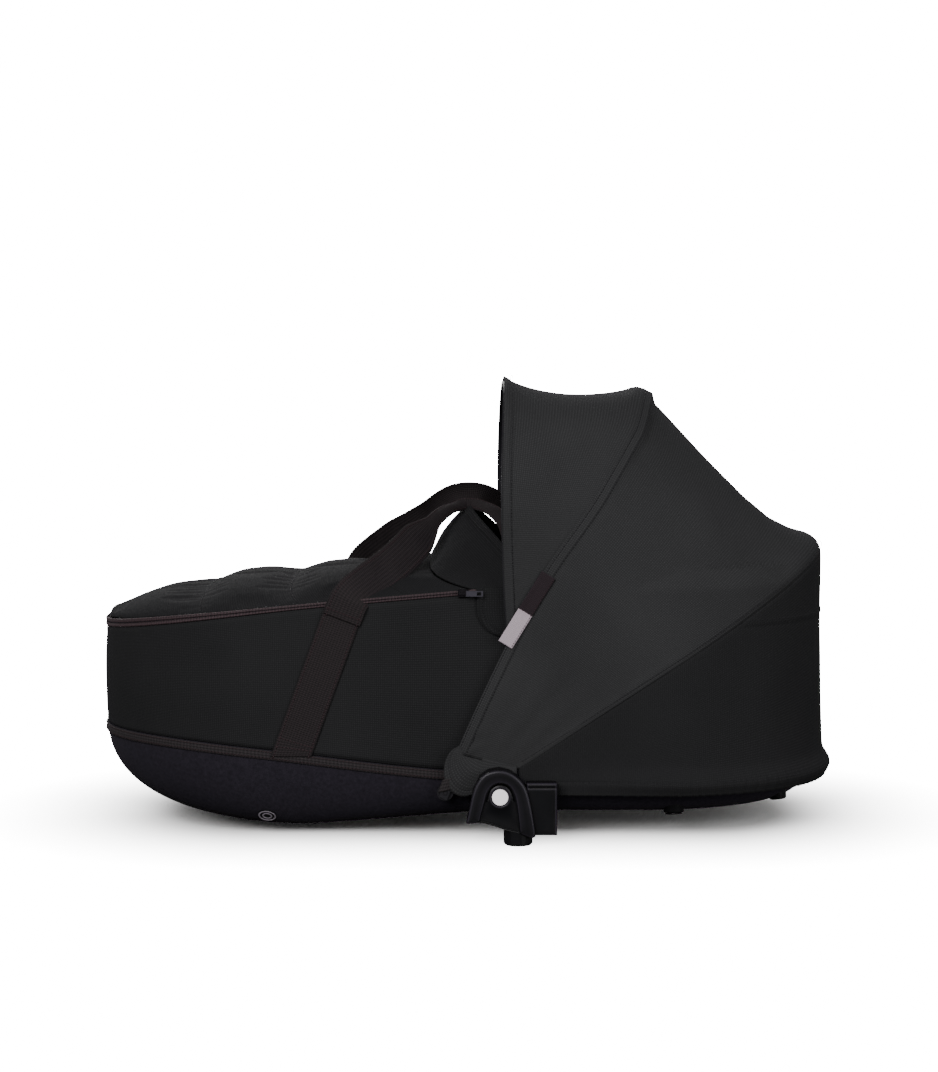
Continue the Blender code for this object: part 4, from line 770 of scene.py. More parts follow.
def makeMainPanel():
    # the cloth goes over the main bow as a channel "front" to "back" wide, then spans to the rear bow
    size = {"count": 281, "rows": 64, "spread": 1.25, "front": 0.0050, "back": -0.0048, "start": 0.095,
            "channel": 0.0042, "groove": 0.0005, "grooveHalf": 0.0009, "turnedEdge": 0.0009,
            # how far it hangs in below a straight line from bow to bow, fitted to the photo's outline: the step
            # off the bow, the hollow, and the shoulder over the rear bow
            "places": (0, 0.030, 0.077, 0.32, 0.607, 0.766, 0.870, 0.931, 0.972, 1),
            "depths": (0, 0.0066, 0.0070, 0.0118, 0.0155, 0.0138, 0.0062, -0.0036, -0.0032, 0), "blur": 13,
            "blurFrom": 0.05, "blurTo": 0.14, "seamFrom": 0.985,
            # its rear edge lies a little above the rear seam; the stitches start above the bow's foot
            "rearRise": 0.0004, "stitchUp": 0.0040, "rearStitchOut": 0.0007, "rearStitchUp": 0.0062}
    count = size["count"]
    shifts = np.concatenate([[size["front"]], np.linspace(size["front"] - 0.0002, size["back"], 15)])
    rows = []
    for index, shift in enumerate(shifts):
        high = -size["groove"] * bump(abs(shift), size["channel"], size["grooveHalf"])
        lift = canopy["lift"] + (0 if index else -size["turnedEdge"]) + high
        rows.append(bowLine(mainBow, lift, size["start"], shift, count))
    channel = np.array(rows)
    rear = headLine(-canopy["headOut"] - canopy["lift"], count, canopy["skirtStart"],
                    canopy["seamRise"] + size["rearRise"])
    share = np.linspace(0, 1, size["rows"])[:, None] ** size["spread"]
    fine = np.linspace(0, 1, 401)
    drawn = np.interp(fine, size["places"], size["depths"])
    window = np.hanning(2 * size["blur"] + 1)
    soft = np.convolve(np.pad(drawn, size["blur"], mode="edge"), window / window.sum(), "valid")
    drawn = mix(drawn, soft, ease(size["blurFrom"], size["blurTo"], fine)) * (1 - ease(size["seamFrom"], 1, fine))
    span = spanGrid(channel[-1], rear, share, np.interp(share, fine, drawn))
    span = span + outward(span, canopyPivot) * mainPanelRelief(span, share, count)[..., None]
    grid = clearOfWall(np.concatenate([channel, span[1:]]))
    shares = np.concatenate([np.ones(len(channel)), 1 - share[1:, 0]])
    piece = gridPiece("canopyMainPanel", grid, canopyPivot, canopyCloth)
    withShare(piece, np.repeat(shares[:, None], count, axis=1))
    thicken(piece, canopy["cloth"], 1)
    bendByShare(piece)
    seat(piece, None, "canopy_cloth", "main_panel")
    above = canopy["lift"] + canopy["cloth"] + canopy["threadOut"]
    rows = [bowLine(mainBow, above, size["start"] + size["stitchUp"], shift, 600)
            for shift in (size["channel"], -size["channel"])]
    stitches("mainBowStitches", rows, "canopy_main", "canopy_cloth")
    edge = headLine(-canopy["headOut"] - canopy["lift"] - canopy["cloth"] - size["rearStitchOut"], 500,
                    canopy["skirtStart"] + size["stitchUp"], canopy["seamRise"] + size["rearStitchUp"])
    stitches("rearSeamStitches", [edge], "root", "canopy_cloth")


def mainPanelRelief(span, share, count):
    # how far each point of the stretched cloth stands out or in; "At" and "Half" are places and widths as shares
    # of the span or of the way from the crown to the bow's foot
    size = {"fold": 0.0007, "foldSize": 0.11, "sideLess": 0.6, "fan": 0.0006, "fans": 3.2, "fanAt": 0.86,
            "fanHalf": 0.10, "gather": 0.0011, "gatherAt": 0.985, "gatherHalf": 0.035, "gatherReach": 0.16,
            "ridge": 0.0006, "ridgeAt": 0.945, "ridgeHalf": 0.022, "rearDrawn": 0.0007, "bowDrawn": 0.0004,
            "drawnHalf": 0.010, "pull": 0.00018}
    across = np.linspace(-1, 1, count)[None]
    beside = np.abs(across)
    # soft folds between the bows, shallower by the sides, where a few upright ones fan out
    slack = np.sin(share * math.pi)
    soft = ripple(span * [1, 1.2, 1], size["foldSize"], 21) * size["fold"] * slack
    soft = soft * (1 - size["sideLess"] * np.clip(beside * 1.25 - 0.25, 0, 1))
    wave = np.sin(share * 2 * math.pi * size["fans"] + 0.6 * np.sin(across * 4))
    fan = wave * bump(beside, size["fanAt"], size["fanHalf"]) * size["fan"] * slack
    # small gathers where the panel is sewn to the pocket, by the bow's foot
    gather = np.sin(beside * count * 0.55 + share * 9) * size["gather"]
    gather = gather * bump(beside, size["gatherAt"], size["gatherHalf"]) * bump(share, 0, size["gatherReach"])
    # the rear seam stands up and is drawn in, with a faint pull of its thread on both seams
    seam = size["ridge"] * bump(share, size["ridgeAt"], size["ridgeHalf"])
    seam = seam - size["rearDrawn"] * bump(share, 1, size["drawnHalf"])
    seam = seam - size["bowDrawn"] * bump(share, 0.012, size["drawnHalf"])
    pulls = np.sin(np.arange(count) * 0.95)[None] * size["pull"]
    return soft + fan + gather + seam + pulls * (bump(share, 0.03, 0.03) + bump(share, 0.95, 0.02))


def makeVisor():
    # front panel: hollow between the bows, flat where it comes up to the main bow
    size = {"count": 261, "rows": 50, "share": 0.42, "low": 0.06, "overhang": 0.0028, "ahead": 0.0080,
            "sag": 0.0180, "sagPower": 0.75, "flatCrown": 0.968, "flatSide": 0.92, "hem": 0.0090,
            "hemBody": 0.0008, "turnedEdge": 0.0010, "groove": 0.0005, "grooveHalf": 0.0012,
            "fold": 0.0006, "foldSize": 0.10, "pull": 0.0002, "pullIn": 0.0020, "pullHalf": 0.0040,
            "drawn": 0.0006, "drawnHalf": 0.02, "stitchOut": 0.0006, "tucks": ((0.0062, 0.0004), (0.0038, 0.0011))}
    count = size["count"]
    frontLift = mainBow["layer"] - frontBow["layer"] + canopy["lift"]
    front = bowLine(frontBow, frontLift, size["low"], size["overhang"], count)
    upper = bowLine(mainBow, canopy["lift"], size["share"], size["ahead"], count)
    share = np.linspace(0, 1, size["rows"])[:, None]
    across = np.abs(np.linspace(-1, 1, count)[None])
    free = np.clip(share / mix(size["flatCrown"], size["flatSide"], ease(0.05, 0.30, across)), 0, 1)
    grid = spanGrid(front, upper, share, size["sag"] * (4 * free * (1 - free)) ** size["sagPower"])
    normal = outward(grid, canopyPivot)
    soft = ripple(grid, size["foldSize"], 33) * size["fold"] * np.sin(share * math.pi)
    back = share * np.linalg.norm(upper - front, axis=1)[None]
    hem = size["hemBody"] * (1 - ease(size["hem"] - 0.0012, size["hem"] + 0.0004, back))
    hem = hem - size["groove"] * bump(back, size["hem"], size["grooveHalf"])
    turned = -size["turnedEdge"] * (1 - ease(0, 0.0012, back))
    pulls = np.sin(np.arange(count) * 1.1)[None] * size["pull"]
    pulls = pulls * bump(back, size["hem"] + size["pullIn"], size["pullHalf"])
    drawn = -size["drawn"] * bump(share, 1, size["drawnHalf"])
    grid = grid + normal * (soft + hem + turned + pulls + drawn)[..., None]
    # its rear edge is sewn under the main panel's front edge
    tucked = [bowLine(mainBow, canopy["lift"] - drop, size["share"], shift, count) for shift, drop in size["tucks"]]
    grid = clearOfWall(np.concatenate([grid, np.array(tucked)]))
    piece = gridPiece("canopyVisorPanel", grid, canopyPivot, canopyCloth)
    shares = np.concatenate([1 - share[:, 0], np.zeros(len(tucked))])
    withShare(piece, np.repeat(shares[:, None], count, axis=1))
    thicken(piece, canopy["cloth"], 1)
    bendByShare(piece)
    seat(piece, None, "canopy_cloth", "visor_panel")
    above = frontLift + canopy["cloth"] + size["stitchOut"]
    line = bowLine(frontBow, above, size["low"] + 0.01, size["overhang"] - size["hem"], 600)
    stitches("visorHemStitches", [line], "canopy_front", "canopy_cloth")


def makeSkirt():
    size = {"count": 421, "rows": 84, "spread": 0.9, "inset": 0.0078, "hemSide": 0.0492, "hemHead": 0.0490,
            "fallStart": 0.2400, "lean": 0.0045, "leanHeight": 0.1600, "bulge": 0.0075, "bulgeHeight": 0.0125,
            "bulgeHalf": 0.0100, "hemRow": 0.0135}
    count = size["count"]
    top = headLine(-size["inset"], count, canopy["skirtStart"], canopy["seamRise"])
    x, y = top[:, 0], top[:, 1]
    share = np.linspace(0, 1, size["rows"])[:, None] ** size["spread"]
    hem = mix(size["hemSide"], size["hemHead"], ease(size["fallStart"], tub["headEnd"], x))[None]
    z = mix(top[:, 2][None], hem, share)
    above = z - hem
    # it leans out on its way down; the elastic draws the hem back in under a soft bulge
    flare = size["lean"] * np.clip(1 - above / size["leanHeight"], 0, 1) ** 1.5
    flare = flare + size["bulge"] * bump(above, size["bulgeHeight"], size["bulgeHalf"])
    wide = ease(canopy["skirtStart"], size["fallStart"], x)[None]
    grid = np.stack([x[None] + flare * ease(size["fallStart"], tub["headEnd"], x)[None],
                     y[None] * (1 + flare * wide / tub["halfWidth"]), z + 0 * flare], axis=2)
    normal = outward(grid, (0.2, 0, 0.15))
    grid = grid + normal * skirtRelief(grid, share, top, z, above, size["hemRow"])[..., None]
    piece = gridPiece("canopySkirt", grid, (0.2, 0, 0.15), skirtClothPaintedShade)
    seat(thicken(piece, canopy["cloth"], 1), "root", "skirt_cloth", "skirt")
    outer = grid + normal * (canopy["cloth"] + canopy["threadOut"])
    rows = ((above, size["hemRow"], x > 0), (z, canopy["seamZ"] + 0.0048, x > canopy["seamFrom"] + 0.004))
    lines = []
    for level, height, chosen in rows:
        line = []
        for column in np.nonzero(chosen)[0]:
            values = level[::-1, column]
            if values[0] <= height <= values[-1]:
                line.append([np.interp(height, values, outer[::-1, column, axis]) for axis in range(3)])
        lines.append(evenly(np.array(line), 500))
    stitches("skirtHemStitches", lines, "root", "skirt_cloth")


def skirtRelief(grid, share, top, z, above, hemRow):
    size = {"fold": 0.0008, "foldSize": 0.10, "gather": 0.00035, "gatherReach": 0.020, "pull": 0.0003,
            "pullHalf": 0.004, "hemBody": 0.0004, "hemGroove": 0.0006, "grooveHalf": 0.0014, "ridge": 0.0009,
            "ridgeUp": 0.0022, "ridgeHalf": 0.0020, "drawn": 0.0005, "drawnHalf": 0.015}
    soft = ripple(grid * [1, 1, 0.8], size["foldSize"], 41) * size["fold"] * np.sin(share * math.pi)
    # elastic in the hem draws it into small gathers, and a ridge where the hem is turned up
    run = lengthsAlong(top)[None]
    gather = (np.sin(run * 520 + 3 * np.sin(run * 40)) + 0.6 * np.sin(run * 870 + 1.3)) * size["gather"]
    gather = gather * bump(above, 0, size["gatherReach"])
    gather = gather + np.sin(run * 900) * size["pull"] * bump(above, hemRow, size["pullHalf"])
    turned = size["hemBody"] * (1 - ease(hemRow - 0.001, hemRow + 0.001, above))
    turned = turned - size["hemGroove"] * bump(above, hemRow, size["grooveHalf"])
    # the cross seam round the head end
    cross = ease(canopy["seamFrom"] - 0.004, canopy["seamFrom"] + 0.004, top[:, 0])[None]
    ridge = bump(z, canopy["seamZ"] + size["ridgeUp"], size["ridgeHalf"]) - bump(z, canopy["seamZ"] - 0.0006, 0.0012)
    return soft + gather + turned + size["ridge"] * ridge * cross - size["drawn"] * bump(share, 0, size["drawnHalf"])


makeMainPanel()
makeVisor()
makeSkirt()
print("canopy made")


def runCloth(piece, pinned, how):
    # the pinned points stay where they are, air pressure moves the rest; the result is applied
    group = piece.vertex_groups.new(name="pinned")
    for index, share in enumerate(np.asarray(pinned, float).ravel()):
        if share > 0:
            group.add([index], float(share), "REPLACE")
    step = piece.modifiers.new("cloth", "CLOTH")
    cloth = step.settings
    cloth.quality = 7
    cloth.mass = 0.25
    cloth.tension_stiffness = cloth.compression_stiffness = how["stiff"]
    cloth.shear_stiffness = how["stiff"] / 3
    cloth.bending_stiffness = how["bend"]
    cloth.air_damping = 4
    cloth.vertex_group_mass = "pinned"
    cloth.effector_weights.gravity = 0
    cloth.shrink_min = how["spare"]
    cloth.use_pressure = True
    cloth.uniform_pressure_force = how["pressure"]
    step.point_cache.frame_start = 1
    step.point_cache.frame_end = how["frames"]
    scene = bpy.context.scene
    for number in range(1, how["frames"] + 1):
        scene.frame_set(number)
    settle(piece)
    scene.frame_set(1)
    piece.vertex_groups.clear()
    return piece


def pointsOf(piece):
    flat = np.zeros(len(piece.data.vertices) * 3)
    piece.data.vertices.foreach_get("co", flat)
    return flat.reshape(-1, 3)


def putPoints(piece, grid):
    piece.data.vertices.foreach_set("co", np.asarray(grid, np.float32).ravel())
    piece.data.update()


# the apron's head edge dips towards the foot in its middle; its crown is low at both ends
apron = {
    "headX": 0.0050, "dip": 0.0465, "dipPower": 6, "footCrown": 0.0170, "headCrown": 0.0185, "fallStart": -0.2000,
    "footReach": 0.1500, "power": 2.6, "edgePower": 8, "footPower": 2, "edgeRise": 0.0040, "inset": 0.0033,
    "overZip": 0.0006, "seams": (-0.2830, -0.1900, -0.0950), "seamDepth": 0.0062, "seamWidth": 0.0130,
    "endHalf": 0.0130,
}


def zipHeight(x):
    # the two tapes are wider round the foot end, where they lie open to the camera
    zipWidth = {"foot": 0.0090, "side": 0.0050, "from": -0.3600, "to": -0.1500}
    return mix(zipWidth["foot"], zipWidth["side"], ease(zipWidth["from"], zipWidth["to"], x))


def apronHeight(x, across):
    fromFoot = np.clip((x - tub["footEnd"]) / apron["footReach"], 0, 1)
    crown = mix(apron["footCrown"], apron["headCrown"], ease(apron["fallStart"], apron["headX"], x))
    crown = crown * (1 - (1 - fromFoot) ** apron["footPower"])
    dome = 1 - np.abs(across) ** apron["power"]
    dip = np.max([bump(x, place, apron["seamWidth"]) for place in apron["seams"]], axis=0)
    edge = apron["edgeRise"] * (1 - np.abs(across) ** apron["edgePower"])
    return rimLine(x) + zipHeight(x) + apron["overZip"] + edge + crown * dome - apron["seamDepth"] * dip * dome


def apronGrid(shares, across):
    inset = apron["inset"]
    x = mix(tub["footEnd"] + inset, apron["headX"], shares[:, None]) + 0 * across[None]
    wide = np.maximum(halfWidthAt(x, inset), apron["endHalf"])
    place = x - apron["dip"] * (1 - np.abs(across[None]) ** apron["dipPower"]) * shares[:, None] ** 2
    return np.stack([place, wide * across[None], apronHeight(place, across[None] + 0 * x)], axis=2)


def makeApron():
    # polyester wadding between two cloths, sewn through along three lines: pinned at the border and the seams,
    # with air pressure for the wadding and a little spare cloth, so that it puckers at the seams by itself
    size = {"rows": 122, "columns": 97, "crowded": 0.35, "body": 0.0040, "turnedEdge": 0.0022, "turnedRows": 3.0,
            "threadOut": 0.0004}
    solver = {"pressure": 0.42, "spare": -0.003, "stiff": 60, "bend": 6.0, "frames": 22}
    shares = np.linspace(0, 1, size["rows"])
    shares = mix(shares, shares ** 2, size["crowded"])
    across = np.linspace(-1, 1, size["columns"])
    # points sit exactly on each seam line
    rowX = mix(tub["footEnd"] + apron["inset"], apron["headX"], shares) - apron["dip"] * shares ** 2
    for place in apron["seams"]:
        shares[np.argmin(np.abs(rowX - place))] = np.interp(place, rowX, shares)
    grid = apronGrid(shares, across)
    piece = gridPiece("apronQuilting", grid, (-0.2, 0, 0.1), quiltCloth)
    rows = [int(np.argmin(np.abs(grid[:, size["columns"] // 2, 0] - place))) for place in apron["seams"]]
    pins = np.zeros(grid.shape[:2])
    pins[0] = pins[-1] = 1
    pins[:, 0] = pins[:, -1] = 1
    pins[rows] = 1
    runCloth(piece, pins, solver)
    moved = pointsOf(piece).reshape(grid.shape)
    print("apron puffed by", round(float(np.abs(moved - grid).max()), 4))
    edge = np.minimum(np.arange(size["rows"])[::-1][:, None] / size["turnedRows"], 1)
    moved[..., 2] -= size["turnedEdge"] * (1 - edge) ** 2
    putPoints(piece, moved)
    subdivide(piece)
    settle(piece)
    seat(thicken(piece, size["body"]), "root", "quilted_cloth", "apron")
    lines = [moved[row, 1:-1] + [0, 0, size["threadOut"]] for row in rows]
    stitches("apronSeamStitches", [evenly(line, 200) for line in lines], "root", "quilted_cloth", quiltSeam)


def rimRun(count, inset, endX):
    ring = planRing(2400, inset)
    run = ring[ring[:, 0] < endX]
    wide = float(halfWidthAt(endX, inset))
    return evenly(np.concatenate([[[endX, wide]], run, [[endX, -wide]]]), count)


def planNormals(run):
    along = np.gradient(run, axis=0)
    normal = np.stack([along[:, 1], -along[:, 0]], axis=1)
    normal /= np.linalg.norm(normal, axis=1, keepdims=True)
    if np.sum(normal * (run - [-0.1, 0])) < 0:
        normal = -normal
    return normal


def makeZip():
    # coil zip: two tapes with rolled edges that meet over the coil. The profile runs up across both tapes
    size = {"count": 520, "endX": 0.0120, "inset": -0.0006, "body": 0.0026, "above": 0.0003, "teethIn": 0.0004,
            "profile": ((0.0, -0.0010), (0.03, 0.0002), (0.10, 0.0006), (0.22, 0.0008), (0.34, 0.0006),
                        (0.42, 0.0000), (0.47, -0.0008), (0.53, -0.0008), (0.58, 0.0000), (0.66, 0.0006),
                        (0.78, 0.0008), (0.90, 0.0006), (0.97, 0.0002), (1.0, -0.0010))}
    teeth = {"Pitch": 0.0021, "Width": 0.0013, "Height": 0.0022, "Depth": 0.0013, "Material": zipMetal}
    run = rimRun(size["count"], size["inset"], size["endX"])
    normal = planNormals(run)
    low, height = rimLine(run[:, 0]) + size["above"], zipHeight(run[:, 0])
    rows = [np.concatenate([run + normal * out, (low + share * height)[:, None]], axis=1)
            for share, out in size["profile"][::-1]]
    piece = gridPiece("zipTapes", np.array(rows), (-0.1, 0, 0.2), zipTape)
    seat(thicken(piece, size["body"]), "root", "zip_tape", "zip_chain")
    line = np.concatenate([run - normal * size["teethIn"], (low + 0.5 * height)[:, None]], axis=1)
    seat(linePiece("zipCoilTeeth", [evenly(line, 900)], toothGroup, teeth), "root", "zip_tape")


# the wind flap stands on the apron's head edge; beyond "heldTo" its ends are sewn to the wall
flap = {"half": 0.1815, "reach": 0.1340, "topX": 0.0010, "topZ": 0.3365, "topSweep": 0.0390, "topFall": 0.0385,
        "bow": 0.0050, "body": 0.0026, "hem": 0.0085, "heldFrom": 0.105, "heldTo": 0.176, "heldHeight": 0.012,
        "baseOn": 0.0003, "baseDown": 0.0006, "fold": 0.0016, "foldSize": 0.075, "crease": 0.0004,
        "creaseSize": 0.030}


def flapEdge():
    return apronGrid(np.array([1.0]), np.linspace(-1, 1, 400))[0]


def flapGrid(rows, columns):
    up = np.linspace(1, 0, rows)[:, None]
    across = np.linspace(-1, 1, columns)[None]
    y = flap["half"] * across + 0 * up
    # the base follows the apron's head edge, the top edge leans on towards the head as it runs outward
    edge = flapEdge()
    baseX, baseZ = [np.interp(y, edge[:, 1], edge[:, axis]) for axis in (0, 2)]
    base = np.stack([baseX + flap["baseOn"], y, baseZ - flap["baseDown"]], 2)
    out = (y / flap["reach"]) ** 2
    top = np.stack([flap["topX"] + flap["topSweep"] * out, y, flap["topZ"] - flap["topFall"] * out], 2)
    bow = flap["bow"] * 4 * up * (1 - up) / math.sqrt(2) * (1 - np.abs(across) ** 3)
    grid = mix(base, top, up[..., None]) + np.stack([-bow, 0 * bow, bow], 2)
    # slack of the padded collar between its ends: shallow upright folds
    normal = outward(grid, (0.2, 0, 0.1))
    wave = ripple(grid * [0.4, 1, 0.4], flap["foldSize"], 52) * flap["fold"]
    wave = wave + ripple(grid, flap["creaseSize"], 53) * flap["crease"]
    wave = wave * np.minimum(1, up * 3) * (1 - 0.5 * np.abs(across) ** 4)
    return grid + normal * wave[..., None], normal


def heldFlap(piece, slotName, *nodes):
    # applies the collar piece's modifiers and bakes its placement; the collar's ends stay sewn to the wall
    settle(piece)
    points = pointsOf(piece)
    bendWith(piece)
    return seat(piece, None, slotName, *nodes)


def makeFlap():
    size = {"rows": 60, "columns": 141, "groove": 0.0007, "hemBody": 0.0007, "hemOut": 0.0005, "hemPast": 0.0011,
            "threadOut": 0.0014, "stitchRows": (0.0018, 0.0062),
            # section of the folded hem: down its face in shares of the hem, out from the middle in half bodies
            "down": (1.0, 0.72, 0.44, 0.18, 0.04, 0.0, 0.04, 0.18, 0.44, 0.72, 1.0),
            "out": (1.0, 1.06, 1.08, 1.0, 0.62, 0.0, -0.62, -1.0, -1.08, -1.06, -1.0)}
    grid, normal = flapGrid(size["rows"], size["columns"])
    share = np.linspace(0, 1, size["rows"])[:, None]
    height = np.linalg.norm(grid[0] - grid[-1], axis=1)[None]
    # sewn edge: the padding thins out into the hem
    groove = -size["groove"] * bump(share * height, flap["hem"] + 0.001, 0.0018)
    piece = gridPiece("windFlapCollar", grid + normal * groove[..., None], (0.2, 0, 0.1), quiltCloth)
    piece = heldFlap(thicken(piece, flap["body"], 0), "quilted_cloth", "wind_flap")
    # the same cloth folded over the top edge
    way = grid[8] - grid[0]
    way /= np.linalg.norm(way, axis=1, keepdims=True)
    half = flap["body"] / 2
    rows = [grid[0] - way * size["hemPast"] + way * (down * flap["hem"]) + normal[0] * (out * (half + size["hemOut"]))
            for down, out in zip(size["down"], size["out"])]
    piece = gridPiece("windFlapHem", np.array(rows), grid[size["rows"] // 2].mean(0), quiltCloth)
    heldFlap(thicken(piece, size["hemBody"], 1), "webbing")
    lines = [grid[0] + way * down + normal[0] * side * (half + size["threadOut"])
             for down in size["stitchRows"] for side in (1, -1)]
    made = linePiece("windFlapHemStitches", [evenly(line[1:-1], 300) for line in lines], stitchGroup, clothSeam)
    heldFlap(made, "webbing")
    for side, name in sides:
        makeTab(side, name)


def wallFace(x, z):
    up = (z - seamHeight(x)) / (rimLine(x) - seamHeight(x))
    return tub["halfWidth"] + tub["wallBulge"] * 4 * up * (1 - up)


def makeTab(side, name):
    # the collar's end, sewn on the wall below the zip's end, with a rolled hem along its curved edge
    size = {"left": 0.0085, "right": 0.0460, "top": 0.2642, "turn": 0.2450, "low": 0.2150, "reach": 0.0260,
            "body": 0.0020, "ridge": 0.0015, "ridgeIn": 0.0026, "ridgeHalf": 0.0018, "groove": 0.0003,
            "grooveIn": 0.0060, "grooveHalf": 0.0010, "widest": 0.1852, "overWall": 0.0003, "stitchIn": 0.0056,
            "stitchEnd": 0.0020, "threadOut": 0.0001}
    z = np.linspace(size["top"], size["low"], 40)[:, None]
    drop = np.clip((size["turn"] - z) / (size["turn"] - size["low"]), 0, 1)
    left = size["left"] + size["reach"] * (1 - np.sqrt(np.maximum(0, 1 - drop ** 2)))
    x = mix(left, size["right"], np.linspace(0, 1, 30)[None] ** 1.3)
    # distance from the curved edge, measured square to it
    square = np.sqrt(1 - 0.85 * drop ** 2)
    inner = (x - left) * square
    ridge = size["ridge"] * bump(inner, size["ridgeIn"], size["ridgeHalf"])
    ridge = ridge - size["groove"] * bump(inner, size["grooveIn"], size["grooveHalf"])
    y = np.minimum(wallFace(x, z), size["widest"]) + size["overWall"] + ridge
    grid = np.stack([x, side * y, z + 0 * x], 2)
    piece = gridPiece("windFlapTab" + name.capitalize(), grid, (0, 0, 0.2), quiltCloth)
    seat(thicken(piece, size["body"], 1), "root", "quilted_cloth", "flap_tab_" + name)
    out = y[:, 12] + size["body"] + size["threadOut"]
    line = np.stack([left[:, 0] + size["stitchIn"] / square[:, 0], side * out, z[:, 0]], 1)
    line = line[line[:, 0] < size["right"] - size["stitchEnd"]]
    stitches("windFlapTabStitches" + name.capitalize(), [evenly(line, 80)], "root", "quilted_cloth")


makeApron()
makeZip()
makeFlap()
print("apron made")


# webbing straps sewn flat on the wall; "run" is their middle line in the side view, away from the tub's middle
strap = {"width": 0.0400, "body": 0.0012, "top": 0.2545, "levelCut": 0.02, "selvedge": 0.0003, "selvedgeFrom": 0.44,
         "least": 0.1848, "overWall": 0.0003, "wobble": 0.0002, "wobbleSize": 0.050, "threadOut": 0.00015,
         "run": ((0.1850, 0.0880), (0.1330, 0.2313), (0.1262, 0.2480), (0.1215, 0.2560))}


def strapGrid(end, side):
    line = smoothLine(strap["run"], 80, 2)
    line = line[line[:, 1] < strap["top"]]
    along = np.gradient(line, axis=0)
    along /= np.linalg.norm(along, axis=1, keepdims=True)
    across = np.stack([along[:, 1], -along[:, 0]], 1)
    # the foot is cut level where it goes under the tape
    level = np.clip((line[:, 1] - strap["run"][0][1]) / strap["levelCut"], 0, 1)[:, None]
    flat = np.stack([1 / along[:, 1], 0 * along[:, 1]], 1)
    across = mix(flat, across, ease(0, 1, level))
    steps = np.linspace(-0.5, 0.5, 15)
    x, z = [line[:, axis][:, None] + across[:, axis][:, None] * steps[None] * strap["width"] for axis in (0, 1)]
    x = x * end
    edge = strap["selvedge"] * (np.abs(steps) > strap["selvedgeFrom"])[None]
    wobble = ripple(np.stack([x, 0 * x, z], 2), strap["wobbleSize"], 60 + end) * strap["wobble"]
    y = np.maximum(wallFace(x, z), strap["least"]) + strap["overWall"] + edge + np.abs(wobble)
    return np.stack([x, side * y, z], 2)


def makeStraps():
    for side, name in sides:
        lines = []
        for end, place in ((-1, "foot"), (1, "head")):
            grid = strapGrid(end, side)
            piece = gridPiece("strap" + place.capitalize() + name.capitalize(), grid, (0, 0, 0.2), strapWebbing)
            seat(thicken(piece, strap["body"], 1), "root", "webbing", f"strap_{place}_{name}")
            out = np.array([0, side * (strap["body"] + strap["threadOut"]), 0])
            for column in (1, -2):
                lines.append(evenly(grid[:, column] + out, 200))
            for row in (4, 7):
                lines.append(evenly(grid[row, 1:-1] + out, 40))
        stitches("strapStitches" + name.capitalize(), lines, "root", "webbing", strapSeam)


# fitted to the photo, from the sewn end at the foot to the middle of the grip; the far handle stands up behind
# the near one, which lies down folded double where the hand takes both
handles = {
    1: {"path": ((-0.1330, 0.1871, 0.2313), (-0.1270, 0.1873, 0.2470), (-0.1235, 0.1878, 0.2560),
                 (-0.1150, 0.1740, 0.2665), (-0.0900, 0.1200, 0.2880), (-0.0500, 0.0500, 0.3225),
                 (-0.0240, 0.0150, 0.3470), (0.0, 0.0100, 0.3520)),
        "grip": (0, 1.0, 0.0), "gripWidth": 0.56, "narrow": (0.20, 0.44)},
    -1: {"path": ((-0.1318, 0.1871, 0.2313), (-0.1270, 0.1873, 0.2440), (-0.1222, 0.1876, 0.2550),
                  (-0.1110, 0.1780, 0.2650), (-0.0745, 0.1300, 0.2882), (-0.0460, 0.0800, 0.3165),
                  (-0.0280, 0.0450, 0.3340), (-0.0070, 0.0180, 0.3390), (0.0, 0.0175, 0.3388)),
         "grip": (0, -0.70, 0.70), "gripWidth": 0.42, "narrow": (0.29, 0.38)},
}


def handlePath(side):
    half = np.array(handles[side]["path"])
    whole = np.concatenate([half, half[-2::-1] * [-1, 1, 1]])
    whole[:, 1] *= side
    return smoothLine(whole, 321, 4)


